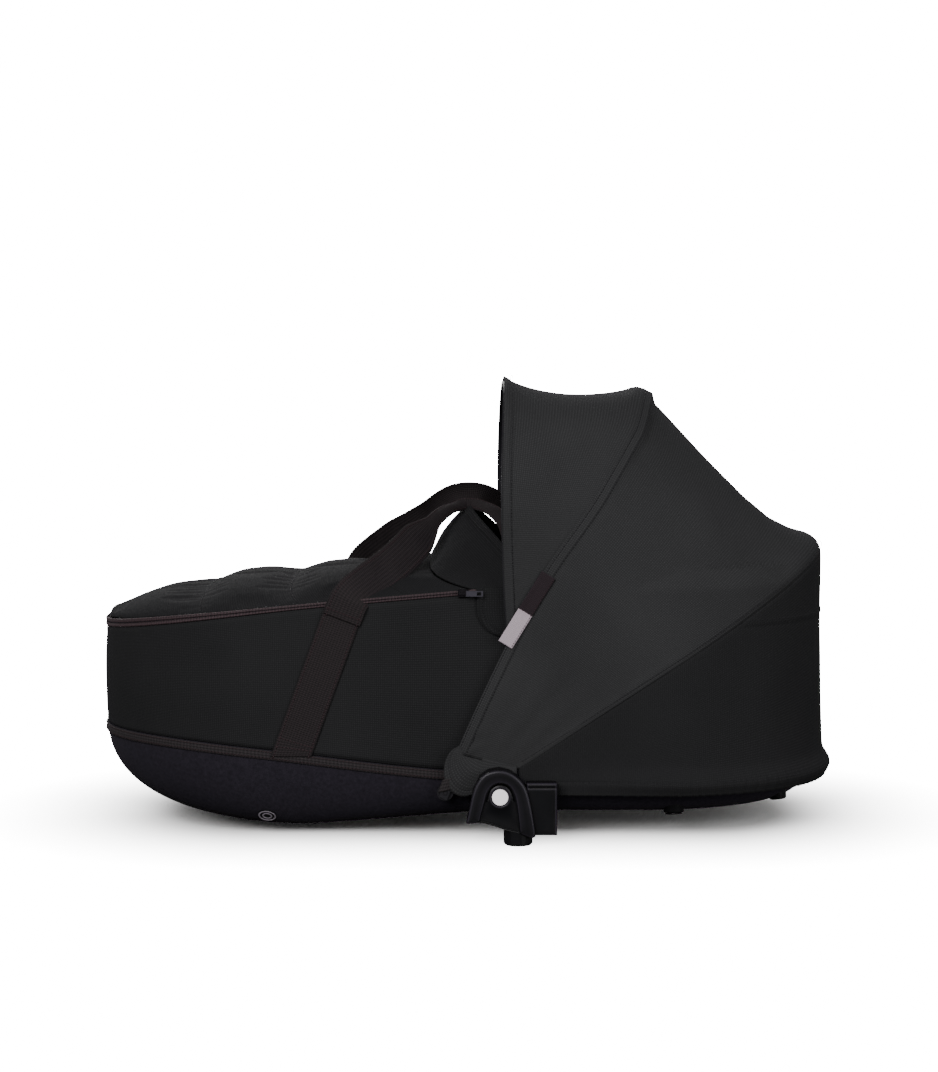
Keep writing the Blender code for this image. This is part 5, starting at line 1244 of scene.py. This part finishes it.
def makeHandle(side, name):
    # "foldFrom" and "foldTo" are shares of its length over which it turns up into the grip
    size = {"body": 0.0015, "columns": 25, "foldFrom": 0.28, "foldTo": 0.44, "heldTo": 0.2560, "freeFrom": 0.2660,
            "wrinkleFrom": 0.2620, "wrinkleTo": 0.2800, "bow": 0.0008, "gripBow": 0.0030, "bowFrom": 0.30,
            "crease": 0.0007, "creaseSize": 0.030, "slack": 0.0016, "slackSize": 0.075, "threadOut": 0.0002}
    line = handlePath(side)
    lengths = lengthsAlong(line) / lengthsAlong(line)[-1]
    fromEnd = np.minimum(lengths, 1 - lengths)
    along = np.gradient(line, axis=0)
    along /= np.linalg.norm(along, axis=1, keepdims=True)
    face = np.array([0, side * 1.0, 0.0])
    grip = ease(size["foldFrom"], size["foldTo"], fromEnd)[:, None]
    normal = mix(face, np.array(handles[side]["grip"]), grip)
    across = np.cross(normal, along)
    across /= np.linalg.norm(across, axis=1, keepdims=True)
    across *= -side * np.sign(np.sum(across * np.cross(face, along), axis=1, keepdims=True))
    normal = np.cross(along, across)
    normal *= np.sign(np.sum(normal * face, axis=1, keepdims=True) + 1e-6)
    normal /= np.linalg.norm(normal, axis=1, keepdims=True)
    wide = strap["width"] / 2 * mix(1.0, handles[side]["gripWidth"], ease(*handles[side]["narrow"], fromEnd))
    steps = np.linspace(1, -1, size["columns"])
    grid = line[:, None] + across[:, None] * (wide[:, None] * steps[None])[..., None]
    wrinkled = ripple(grid, size["creaseSize"], 71 + side) * size["crease"]
    wrinkled = wrinkled + ripple(grid, size["slackSize"], 73 + side) * size["slack"]
    free = ease(size["wrinkleFrom"], size["wrinkleTo"], line[:, 2])[:, None]
    # the band bows a little across its width, more where it folds double
    folded = ease(size["bowFrom"], size["foldTo"], fromEnd)[:, None]
    bow = (1 - steps[None] ** 2) * mix(size["bow"], size["gripBow"], folded)
    grid = grid + normal[:, None, :] * ((wrinkled + bow) * free)[..., None]
    piece = gridPiece("carryHandle" + name.capitalize(), grid, (0, 0, 0.1), strapWebbing)
    withShare(piece, ease(size["heldTo"], size["freeFrom"], grid[..., 2]))
    thicken(piece, size["body"], 0)
    bendByShare(piece)
    seat(piece, None, "webbing", "handle_" + name)
    surface = grid + normal[:, None, :] * (size["body"] / 2 + size["threadOut"])
    lines = [evenly(row, 700) for row in (surface[:, 2], surface[:, -3])]
    lines += [evenly(row[1:-1], 40) for row in (surface[4], surface[-5])]
    made = linePiece("carryHandleStitches" + name.capitalize(), lines, stitchGroup, handleSeam)
    weights = ease(size["heldTo"], size["freeFrom"], pointsOf(made)[:, 2])
    bendWith(made)
    seat(made, None, "webbing")


makeStraps()
for side, name in sides:
    makeHandle(side, name)
print("straps made")


def makeTag():
    # plain two-tone ribbon loop, sewn under the bow's seam; no print on it
    size = {"x": 0.0596, "z": 0.2428, "angle": math.radians(58.2), "length": 0.0850, "width": 0.0164, "grey": 0.47,
            "face": 0.1974, "body": 0.0008, "curl": 0.0006, "lift": 0.0010, "threadOut": 0.0001}
    along = np.linspace(-0.5, 0.5, 61)[:, None]
    over = np.linspace(-0.5, 0.5, 13)[None]
    cosine, sine = math.cos(size["angle"]), math.sin(size["angle"])
    x = size["x"] + cosine * along * size["length"] - sine * over * size["width"]
    z = size["z"] + sine * along * size["length"] + cosine * over * size["width"]
    curl = size["curl"] * np.sin(along * 7 + 0.6) * (over + 0.5)
    curl = curl + size["lift"] * np.clip(over - 0.1, 0, 1) * (1 + np.sin(along * 9))
    grid = np.stack([x, -(size["face"] + np.abs(curl)), z], 2)
    piece = gridPiece("plainTag", grid, (0.1, 0, 0.2), tagBlack)
    piece.data.materials.append(tagGrey)
    share = np.repeat(np.linspace(0, 1, 60), 12)
    piece.data.polygons.foreach_set("material_index", (share < size["grey"]).astype(np.int32))
    seat(thicken(piece, size["body"], 1), "canopy_main", "tag_cloth", "label_tag")
    face = grid - [0, size["body"] + size["threadOut"], 0]
    lines = [evenly(face[2:-2, 1], 80), evenly(face[28, 1:-1], 20)]
    stitches("plainTagStitches", lines, "canopy_main", "tag_cloth", tagSeam)


# cloth cap over the foot of the main bow: side-view outlines of its edge under the panel and of its free edge,
# fitted to the photo. The part by the bow lies on it, from "turns" back to "stays" it goes over to the tub
pocket = {
    "inner": ((-0.0070, 0.1010), (-0.0040, 0.0985), (0.0051, 0.0911), (0.0236, 0.0859), (0.0493, 0.0797)),
    "outer": ((-0.0103, 0.1000), (-0.0216, 0.0932), (-0.0270, 0.0747), (-0.0226, 0.0572), (-0.0113, 0.0479),
              (0.0010, 0.0489), (0.0150, 0.0560), (0.0300, 0.0640), (0.0493, 0.0700)),
    "rows": 26, "columns": 90, "layer": 0.1941, "body": 0.0013, "puff": 0.0018, "groove": 0.0007,
    "turns": -0.002, "stays": 0.030, "threadOut": 0.0001,
}


def makePocket(side, name):
    inner, outer = [smoothLine(pocket[edge], pocket["columns"], 2) for edge in ("inner", "outer")]
    share = np.linspace(0, 1, pocket["rows"])[:, None]
    flat = mix(inner[None], outer[None], share[..., None])
    x, z = flat[..., 0], flat[..., 1]
    puff = pocket["puff"] * ease(0.10, 0.40, share) * (1 - share ** 6)
    rolled = -pocket["groove"] * bump(share, 0.84, 0.03)
    along = np.linspace(0, 1, pocket["columns"])[None]
    gather = np.sin(along * 60 + 4 * share) * 0.0002 * bump(along, 0.05, 0.10) * (1 - share)
    fold = ripple(np.stack([x, 0 * x, z], 2), 0.024, 81) * 0.0005 * ease(0.1, 0.4, share)
    grid = np.stack([x, side * (pocket["layer"] + puff + rolled + gather + fold), z], 2)
    piece = gridPiece("bowPocket" + name.capitalize(), grid, (0, 0, 0.1), canopyCloth)
    withShare(piece, 1 - ease(pocket["turns"], pocket["stays"], x))
    thicken(piece, pocket["body"], 1)
    bendByShare(piece)
    seat(piece, None, "canopy_cloth", "rib_pocket_" + name)
    line = grid[21, 6:60] + [0, side * (pocket["body"] + pocket["threadOut"]), 0]
    made = linePiece("bowPocketStitches" + name.capitalize(), [evenly(line, 120)], stitchGroup, clothSeam)
    weights = 1 - ease(pocket["turns"], pocket["stays"], pointsOf(made)[:, 0])
    bendWith(made)
    seat(made, None, "canopy_cloth")


def makePocketRibbon(side, name):
    # short ribbon sewn into the pocket's lower edge, folded once
    size = {"x": -0.0175, "z": 0.0615, "length": 0.0120, "width": 0.0135, "slant": 0.0050, "fall": 0.0025,
            "above": 0.0006, "curl": 0.0007, "body": 0.0010}
    steps = np.linspace(0, 1, 15)[:, None]
    over = np.linspace(-0.5, 0.5, 9)[None]
    x = size["x"] - size["length"] * steps + size["slant"] * over
    z = size["z"] - size["fall"] * steps + size["width"] * over
    y = pocket["layer"] + size["above"] + size["curl"] * np.sin(steps * math.pi) + 0 * over
    piece = gridPiece("bowPocketRibbon" + name.capitalize(), np.stack([x, side * y, z], 2), (0, 0, 0.1), bindingTape)
    seat(thicken(piece, size["body"], 1), "canopy_main", "webbing")


# the adapter's arched cover: both outlines are in shares of its width and height, as seen from the side;
# "floor", "rim" and "side" are how far out the recess, its raised border and the cover's foot lie
arch = {
    "left": -0.0024, "low": 0.0091, "width": 0.0709, "height": 0.0710, "centre": (0.0320, 0.0515), "hole": 0.0089,
    "floor": 0.2195, "rim": 0.2228, "side": 0.2170, "over": 0.0005, "openFrom": -0.0035, "openTo": -0.0005,
    "outline": ((0.000, 0.224), (0.038, 0.393), (0.092, 0.686), (0.192, 0.882), (0.307, 0.968), (0.474, 1.000),
                (0.629, 0.962), (0.756, 0.868), (0.859, 0.738), (0.924, 0.493), (1.000, 0.032), (0.949, 0.000),
                (0.752, 0.086), (0.566, 0.121), (0.371, 0.192), (0.192, 0.237), (0.062, 0.220)),
    "recess": ((0.150, -0.200), (0.173, 0.249), (0.244, 0.493), (0.292, 0.686), (0.371, 0.789), (0.499, 0.825),
               (0.629, 0.776), (0.705, 0.637), (0.743, 0.431), (0.781, 0.099), (0.800, -0.200)),
}


def rayLengths(outline, turns):
    # how far from the button's centre rays cross a closed outline
    points = np.array(outline) * [arch["width"], arch["height"]] + [arch["left"], arch["low"]]
    around = smoothLine(np.concatenate([points, points[:1]]), 1500, 2) - arch["centre"]
    angle = np.arctan2(around[:, 1], around[:, 0]) % (2 * math.pi)
    order = np.argsort(angle)
    return np.interp(turns % (2 * math.pi), angle[order], np.hypot(*around.T)[order], period=2 * math.pi)


def highlightedPiece(name, grid, paintedHighlight, **how):
    piece = gridPiece(name, grid, (0.03, 0, 0.05), adapterNylon, **how)
    # painted highlight share at each point, read by the plastic's colour
    layer = piece.data.attributes.new("paintedHighlight", "FLOAT", "POINT")
    layer.data.foreach_set("value", np.asarray(paintedHighlight + 0 * grid[..., 0], np.float32).ravel())
    return seat(piece, "root", "moulded_plastic")


def makeAdapterFace(side, name):
    # moulded cover of the arch: raised rim, bell-shaped recess open below, collar round the button
    turns = np.linspace(0, 2 * math.pi, 241)[:-1]
    outer = rayLengths(arch["outline"], turns) + arch["over"]
    inner = rayLengths(arch["recess"], turns)
    # where the recess runs out below the cover there is no rim, and the rings take the heights in "low" instead
    opened = ease(arch["openFrom"], arch["openTo"], inner - outer)
    inner = np.minimum(inner, outer)
    hole, floor, rim = arch["hole"] + 0 * turns, arch["floor"], arch["rim"]
    # rings from the button outward: radius, how far out, how much painted highlight
    rings = [(hole, floor - 0.0004, 0.0), (hole + 0.0009, floor + 0.0008, 0.8), (hole + 0.0022, floor + 0.0007, 0.3),
             (hole + 0.0030, floor, 0.0), (mix(hole + 0.003, inner, 0.5), floor, 0.0), (inner - 0.0030, floor, 0.0),
             (inner - 0.0010, floor + 0.0003, 0.0), (inner + 0.0002, rim - 0.0009, 0.2),
             (inner + 0.0009, rim - 0.0001, 1.0), (inner + 0.0020, rim, 0.25), (mix(inner, outer, 0.5), rim, 0.0),
             (outer - 0.0032, rim, 0.15), (outer - 0.0018, rim - 0.0002, 0.8), (outer - 0.0008, rim - 0.0009, 1.0),
             (outer - 0.0001, rim - 0.0024, 0.3), (outer, arch["side"], 0.0)]
    low = [floor] * 5 + [floor + 0.0002, floor, floor - 0.0008, arch["side"]]
    plain = len(rings) - len(low)
    rows, paintedHighlight = [], []
    for index, (radius, out, light) in enumerate(rings):
        if index >= plain:
            out, light = mix(out, low[index - plain], opened), light * (1 - opened)
        radius = np.minimum(radius, outer)
        rows.append(np.stack([arch["centre"][0] + radius * np.cos(turns), side * (out + 0 * turns),
                              arch["centre"][1] + radius * np.sin(turns)], 1))
        paintedHighlight.append(light + 0 * turns)
    highlightedPiece("adapterFace" + name.capitalize(), np.array(rows), np.array(paintedHighlight), wrap=True)


def makeBlockFace(side, name):
    # front of the block beside the arch, with the parting groove near its top
    block = {"left": 0.0591, "right": 0.0908, "bottom": 0.0109, "top": 0.0657, "front": 0.2158, "fillet": 0.0030,
             "groove": 0.0010, "grooveZ": 0.0605, "grooveHalf": 0.0009, "grooveFrom": 0.0600, "grooveTo": 0.0620,
             "highlightIn": 0.0011, "highlightHalf": 0.0008, "ledgeZ": 0.0588, "ledgeHalf": 0.0006}
    x, z = np.meshgrid(np.linspace(block["left"], block["right"], 60),
                       np.linspace(block["top"], block["bottom"], 90))
    away = np.minimum(np.minimum(x - block["left"], block["right"] - x),
                      np.minimum(z - block["bottom"], block["top"] - z))
    fillet = block["fillet"]
    drop = fillet - np.sqrt(np.maximum(0, fillet ** 2 - (fillet - np.clip(away, 0, fillet)) ** 2))
    groove = bump(z, block["grooveZ"], block["grooveHalf"]) * ease(block["grooveFrom"], block["grooveTo"], x)
    # painted highlight along the fillet's edge and on the ledge under the groove
    light = bump(away, block["highlightIn"], block["highlightHalf"]) + 0.5 * bump(z, block["ledgeZ"], block["ledgeHalf"])
    grid = np.stack([x, side * (block["front"] - drop - block["groove"] * groove), z], 2)
    highlightedPiece("adapterBlockFace" + name.capitalize(), grid, np.clip(light, 0, 1))


def makeFootRing(node, share, material):
    # raised ring on the face of a foot disc, which lies square to the disc's least spread
    size = {"half": 0.0008, "proud": 0.0004}
    disc = frame["nodes"][node]
    points = np.array([disc.matrix_world @ vertex.co for vertex in disc.data.vertices])
    centre = (points.min(0) + points.max(0)) / 2
    ways = np.linalg.svd(points - points.mean(0))[2]
    normal = ways[2] * np.sign(np.dot(ways[2], [0, centre[1], -0.3]))
    out = (points - centre) @ normal
    face = centre + normal * out.max()
    reach = np.linalg.norm(points - centre - out[:, None] * normal, axis=1).max()
    side = np.cross(normal, [1.0, 0.0, 0.0])
    side /= np.linalg.norm(side)
    other = np.cross(normal, side)
    turns = np.linspace(0, 2 * math.pi, 65)[:-1]
    around = np.cos(turns)[:, None] * side + np.sin(turns)[:, None] * other
    rows = []
    for angle in np.linspace(0, 2 * math.pi, 9):
        radius = reach * share + size["half"] * math.cos(angle)
        rows.append(face + normal * size["proud"] * math.sin(angle) + around * radius)
    piece = gridPiece(node.replace("_", "") + "Ring", np.array(rows), face - normal * 0.004, material, wrap=True)
    seat(piece, "root", "moulded_plastic")


def dressHard():
    kinds = {"main_rib": ribPlastic, "front_rib": ribPlastic, "rear_rib": ribPlastic, "rim_frame": steelWire}
    paired = {"adapter_housing_": adapterNylon, "release_button_": buttonAcetal, "latch_lever_": ribPlastic,
              "latch_pin_": steelWire, "button_spring_": steelWire, "zip_slider_": zipMetal, "zip_pull_": pullMetal,
              "canopy_hub_": ribPlastic, "rear_rivet_": steelWire, "visor_pin_": steelWire,
              "base_disc_": adapterNylon, "rear_foot_": adapterNylon, "end_foot_": adapterNylon}
    kinds.update({node + name: material for _, name in sides for node, material in paired.items()})
    for node, material in kinds.items():
        dress(node, material)


def makeMattress():
    # soft foam pad in a jersey cover, with five sewn channels across it
    size = {"rows": 150, "around": 64, "low": 0.0548, "thick": 0.0300, "crown": 0.0080, "depth": 0.0060,
            "reach": 0.0120, "count": 5, "inset": 0.0133, "endGap": 0.001, "endHalf": 0.012, "endThick": 0.45,
            "threadOut": 0.0003}
    ring = shellRing(400, size["inset"], size["low"])
    lowX, highX = ring[:, 0].min() + size["endGap"], ring[:, 0].max() - size["endGap"]
    half = ring[:len(ring) // 2 + 1]
    half = half[np.argsort(half[:, 0])]
    turn = (1 - np.cos(np.linspace(0, math.pi, size["rows"]))) / 2
    x = mix(lowX, highX, mix(np.linspace(0, 1, size["rows"]), turn, 0.5))
    wide = np.maximum(np.interp(x, half[:, 0], half[:, 1]), size["endHalf"])
    channels = np.linspace(lowX, highX, size["count"] + 2)[1:-1]
    dip = np.max([bump(x, place, size["reach"]) for place in channels], axis=0)
    edge = np.clip(np.minimum(x - lowX, highX - x) / size["thick"], 0, 1)
    top = size["thick"] * mix(size["endThick"], 1.0, np.sqrt(1 - (1 - edge) ** 2))
    top = size["low"] + top + (size["crown"] - size["depth"] * dip) * edge
    # flat below, rounded at the sides, a little crowned on top
    around = np.linspace(0, 2 * math.pi, size["around"] + 1)[:-1]
    cosine, sine = np.cos(around), np.sin(around)
    acrossShare = np.sign(cosine) * np.abs(cosine) ** 0.35
    upShare = (np.sign(sine) * np.abs(sine) ** 0.6 + 1) / 2
    grid = np.stack([x[:, None] + 0 * acrossShare[None], wide[:, None] * acrossShare[None],
                     mix(size["low"], top[:, None], upShare[None])], 2)
    grid[..., 2] += ripple(grid, 0.06, 91) * 0.0005 * upShare[None]
    piece = gridPiece("mattressCover", grid, (0, 0, 0.065), liningCloth, wrap=True, capLast=True)
    seat(piece, "root", "lining_cloth", "mattress")
    columns = np.nonzero(upShare > 0.8)[0]
    lines = [grid[int(np.argmin(np.abs(x - place))), columns] + [0, 0, size["threadOut"]] for place in channels]
    stitches("mattressStitches", [evenly(line, 160) for line in lines], "root", "lining_cloth", mattressSeam)


makeTag()
for side, name in sides:
    makePocket(side, name)
    makePocketRibbon(side, name)
dressHard()
for side, name in sides:
    makeAdapterFace(side, name)
    makeBlockFace(side, name)
    for node, share, material in (("base_disc_", 0.84, ringPlastic), ("base_disc_", 0.45, ringPlastic),
                                  ("rear_foot_", 0.70, adapterNylon)):
        makeFootRing(node + name, share, material)
makeMattress()
print("small pieces made")


# "nearLow" and "nearHigh" are the corners of the box round which the floor's painted shadow lies
look = {"floorGlow": 22.0, "worldLight": 0.42, "worldMirrored": 0.6, "worldSeen": 22.0, "shadowStart": 0.09,
        "shadowReach": 0.36, "nearLow": (-0.22, -0.02, 0.0), "nearHigh": (0.24, 0.02, 0.0),
        "lights": (("key", (-1.2, -2.9, 1.8), 1.8, 150), ("fill", (2.4, -2.5, 0.9), 2.4, 84),
                   ("top", (0.3, 0.2, 2.8), 2.2, 1), ("back", (-0.6, 2.9, 0.9), 1.8, 36))}


def makeStage():
    floor = bpy.data.meshes.new("floor")
    floor.from_pydata([(-6, -4, 0), (6, -4, 0), (6, 5, 0), (-6, 5, 0)], [], [(0, 1, 2, 3)])
    ground = bpy.data.objects.new("floor", floor)
    bpy.context.scene.collection.objects.link(ground)
    # overexposed white paper: the camera sees it brighter than the light it gives the black cloth
    paper, tree, shader = startMaterial("whitePaper", 0.9)
    shader.inputs["Emission Color"].default_value = linear("ffffff")
    seen = addNode(tree, "ShaderNodeLightPath")
    # and throws little light back up under the tub
    tone = addNode(tree, "ShaderNodeMix", {"Factor": seen.outputs["Is Camera Ray"], 6: linear("5c5b5a"),
                                           7: linear("f4f3f2")}, data_type="RGBA")
    tree.links.new(tone.outputs[2], shader.inputs["Base Color"])
    # the glow fades out towards the tub: painted shadow round it, darkened further where the tub's real soft shadow
    # falls
    place = addNode(tree, "ShaderNodeTexCoord")
    flat = addNode(tree, "ShaderNodeVectorMath", {0: place.outputs["Object"], 1: (1.0, 1.0, 0.0)},
                   operation="MULTIPLY")
    held = addNode(tree, "ShaderNodeVectorMath", {0: flat.outputs[0], 1: look["nearLow"]}, operation="MAXIMUM")
    nearest = addNode(tree, "ShaderNodeVectorMath", {0: held.outputs[0], 1: look["nearHigh"]}, operation="MINIMUM")
    away = addNode(tree, "ShaderNodeVectorMath", {0: flat.outputs[0], 1: nearest.outputs[0]}, operation="DISTANCE")
    fade = addNode(tree, "ShaderNodeMapRange", {"Value": away.outputs["Value"], "From Min": look["shadowStart"],
                                                "From Max": look["shadowStart"] + look["shadowReach"],
                                                "To Max": look["floorGlow"]},
                   interpolation_type="SMOOTHSTEP")
    glow = addNode(tree, "ShaderNodeMath", {0: seen.outputs["Is Camera Ray"], 1: fade.outputs[0]},
                   operation="MULTIPLY")
    tree.links.new(glow.outputs[0], shader.inputs["Emission Strength"])
    floor.materials.append(paper)


def makeLights():
    world = bpy.data.worlds.new("studio")
    world.use_nodes = True
    tree = world.node_tree
    tree.nodes["Background"].inputs["Color"].default_value = linear("ffffff")
    seen = addNode(tree, "ShaderNodeLightPath")
    # polished plastic and metal mirror a brighter room than the one that lights the cloth
    mirrored = addNode(tree, "ShaderNodeMapRange", {"Value": seen.outputs["Is Glossy Ray"],
                                                    "To Min": look["worldLight"], "To Max": look["worldMirrored"]})
    level = addNode(tree, "ShaderNodeMapRange", {"Value": seen.outputs["Is Camera Ray"],
                                                 "To Min": mirrored.outputs[0], "To Max": look["worldSeen"]})
    tree.links.new(level.outputs[0], tree.nodes["Background"].inputs["Strength"])
    bpy.context.scene.world = world
    for name, place, size, power in look["lights"]:
        light = bpy.data.lights.new(name, "AREA")
        light.energy = power
        light.size = size
        lamp = bpy.data.objects.new(name, light)
        lamp.location = place
        lamp.rotation_euler = (Vector((0, 0, 0.25)) - Vector(place)).to_track_quat("-Z", "Y").to_euler()
        bpy.context.scene.collection.objects.link(lamp)


def makeCamera():
    # square to the side and 4.5 degrees from above, as the photo was taken
    view = {"distance": 3.0, "height": 0.3035, "angle": math.radians(4.5), "lens": 91.6}
    shot = bpy.data.cameras.new("photoView")
    shot.lens = view["lens"]
    camera = bpy.data.objects.new("photoView", shot)
    camera.location = (0, -view["distance"] * math.cos(view["angle"]),
                       view["height"] + view["distance"] * math.sin(view["angle"]))
    aim = Vector((0, 0, view["height"])) - camera.location
    camera.rotation_euler = aim.to_track_quat("-Z", "Y").to_euler()
    bpy.context.scene.collection.objects.link(camera)
    bpy.context.scene.camera = camera


makeStage()
makeLights()
makeCamera()
print("stage made")
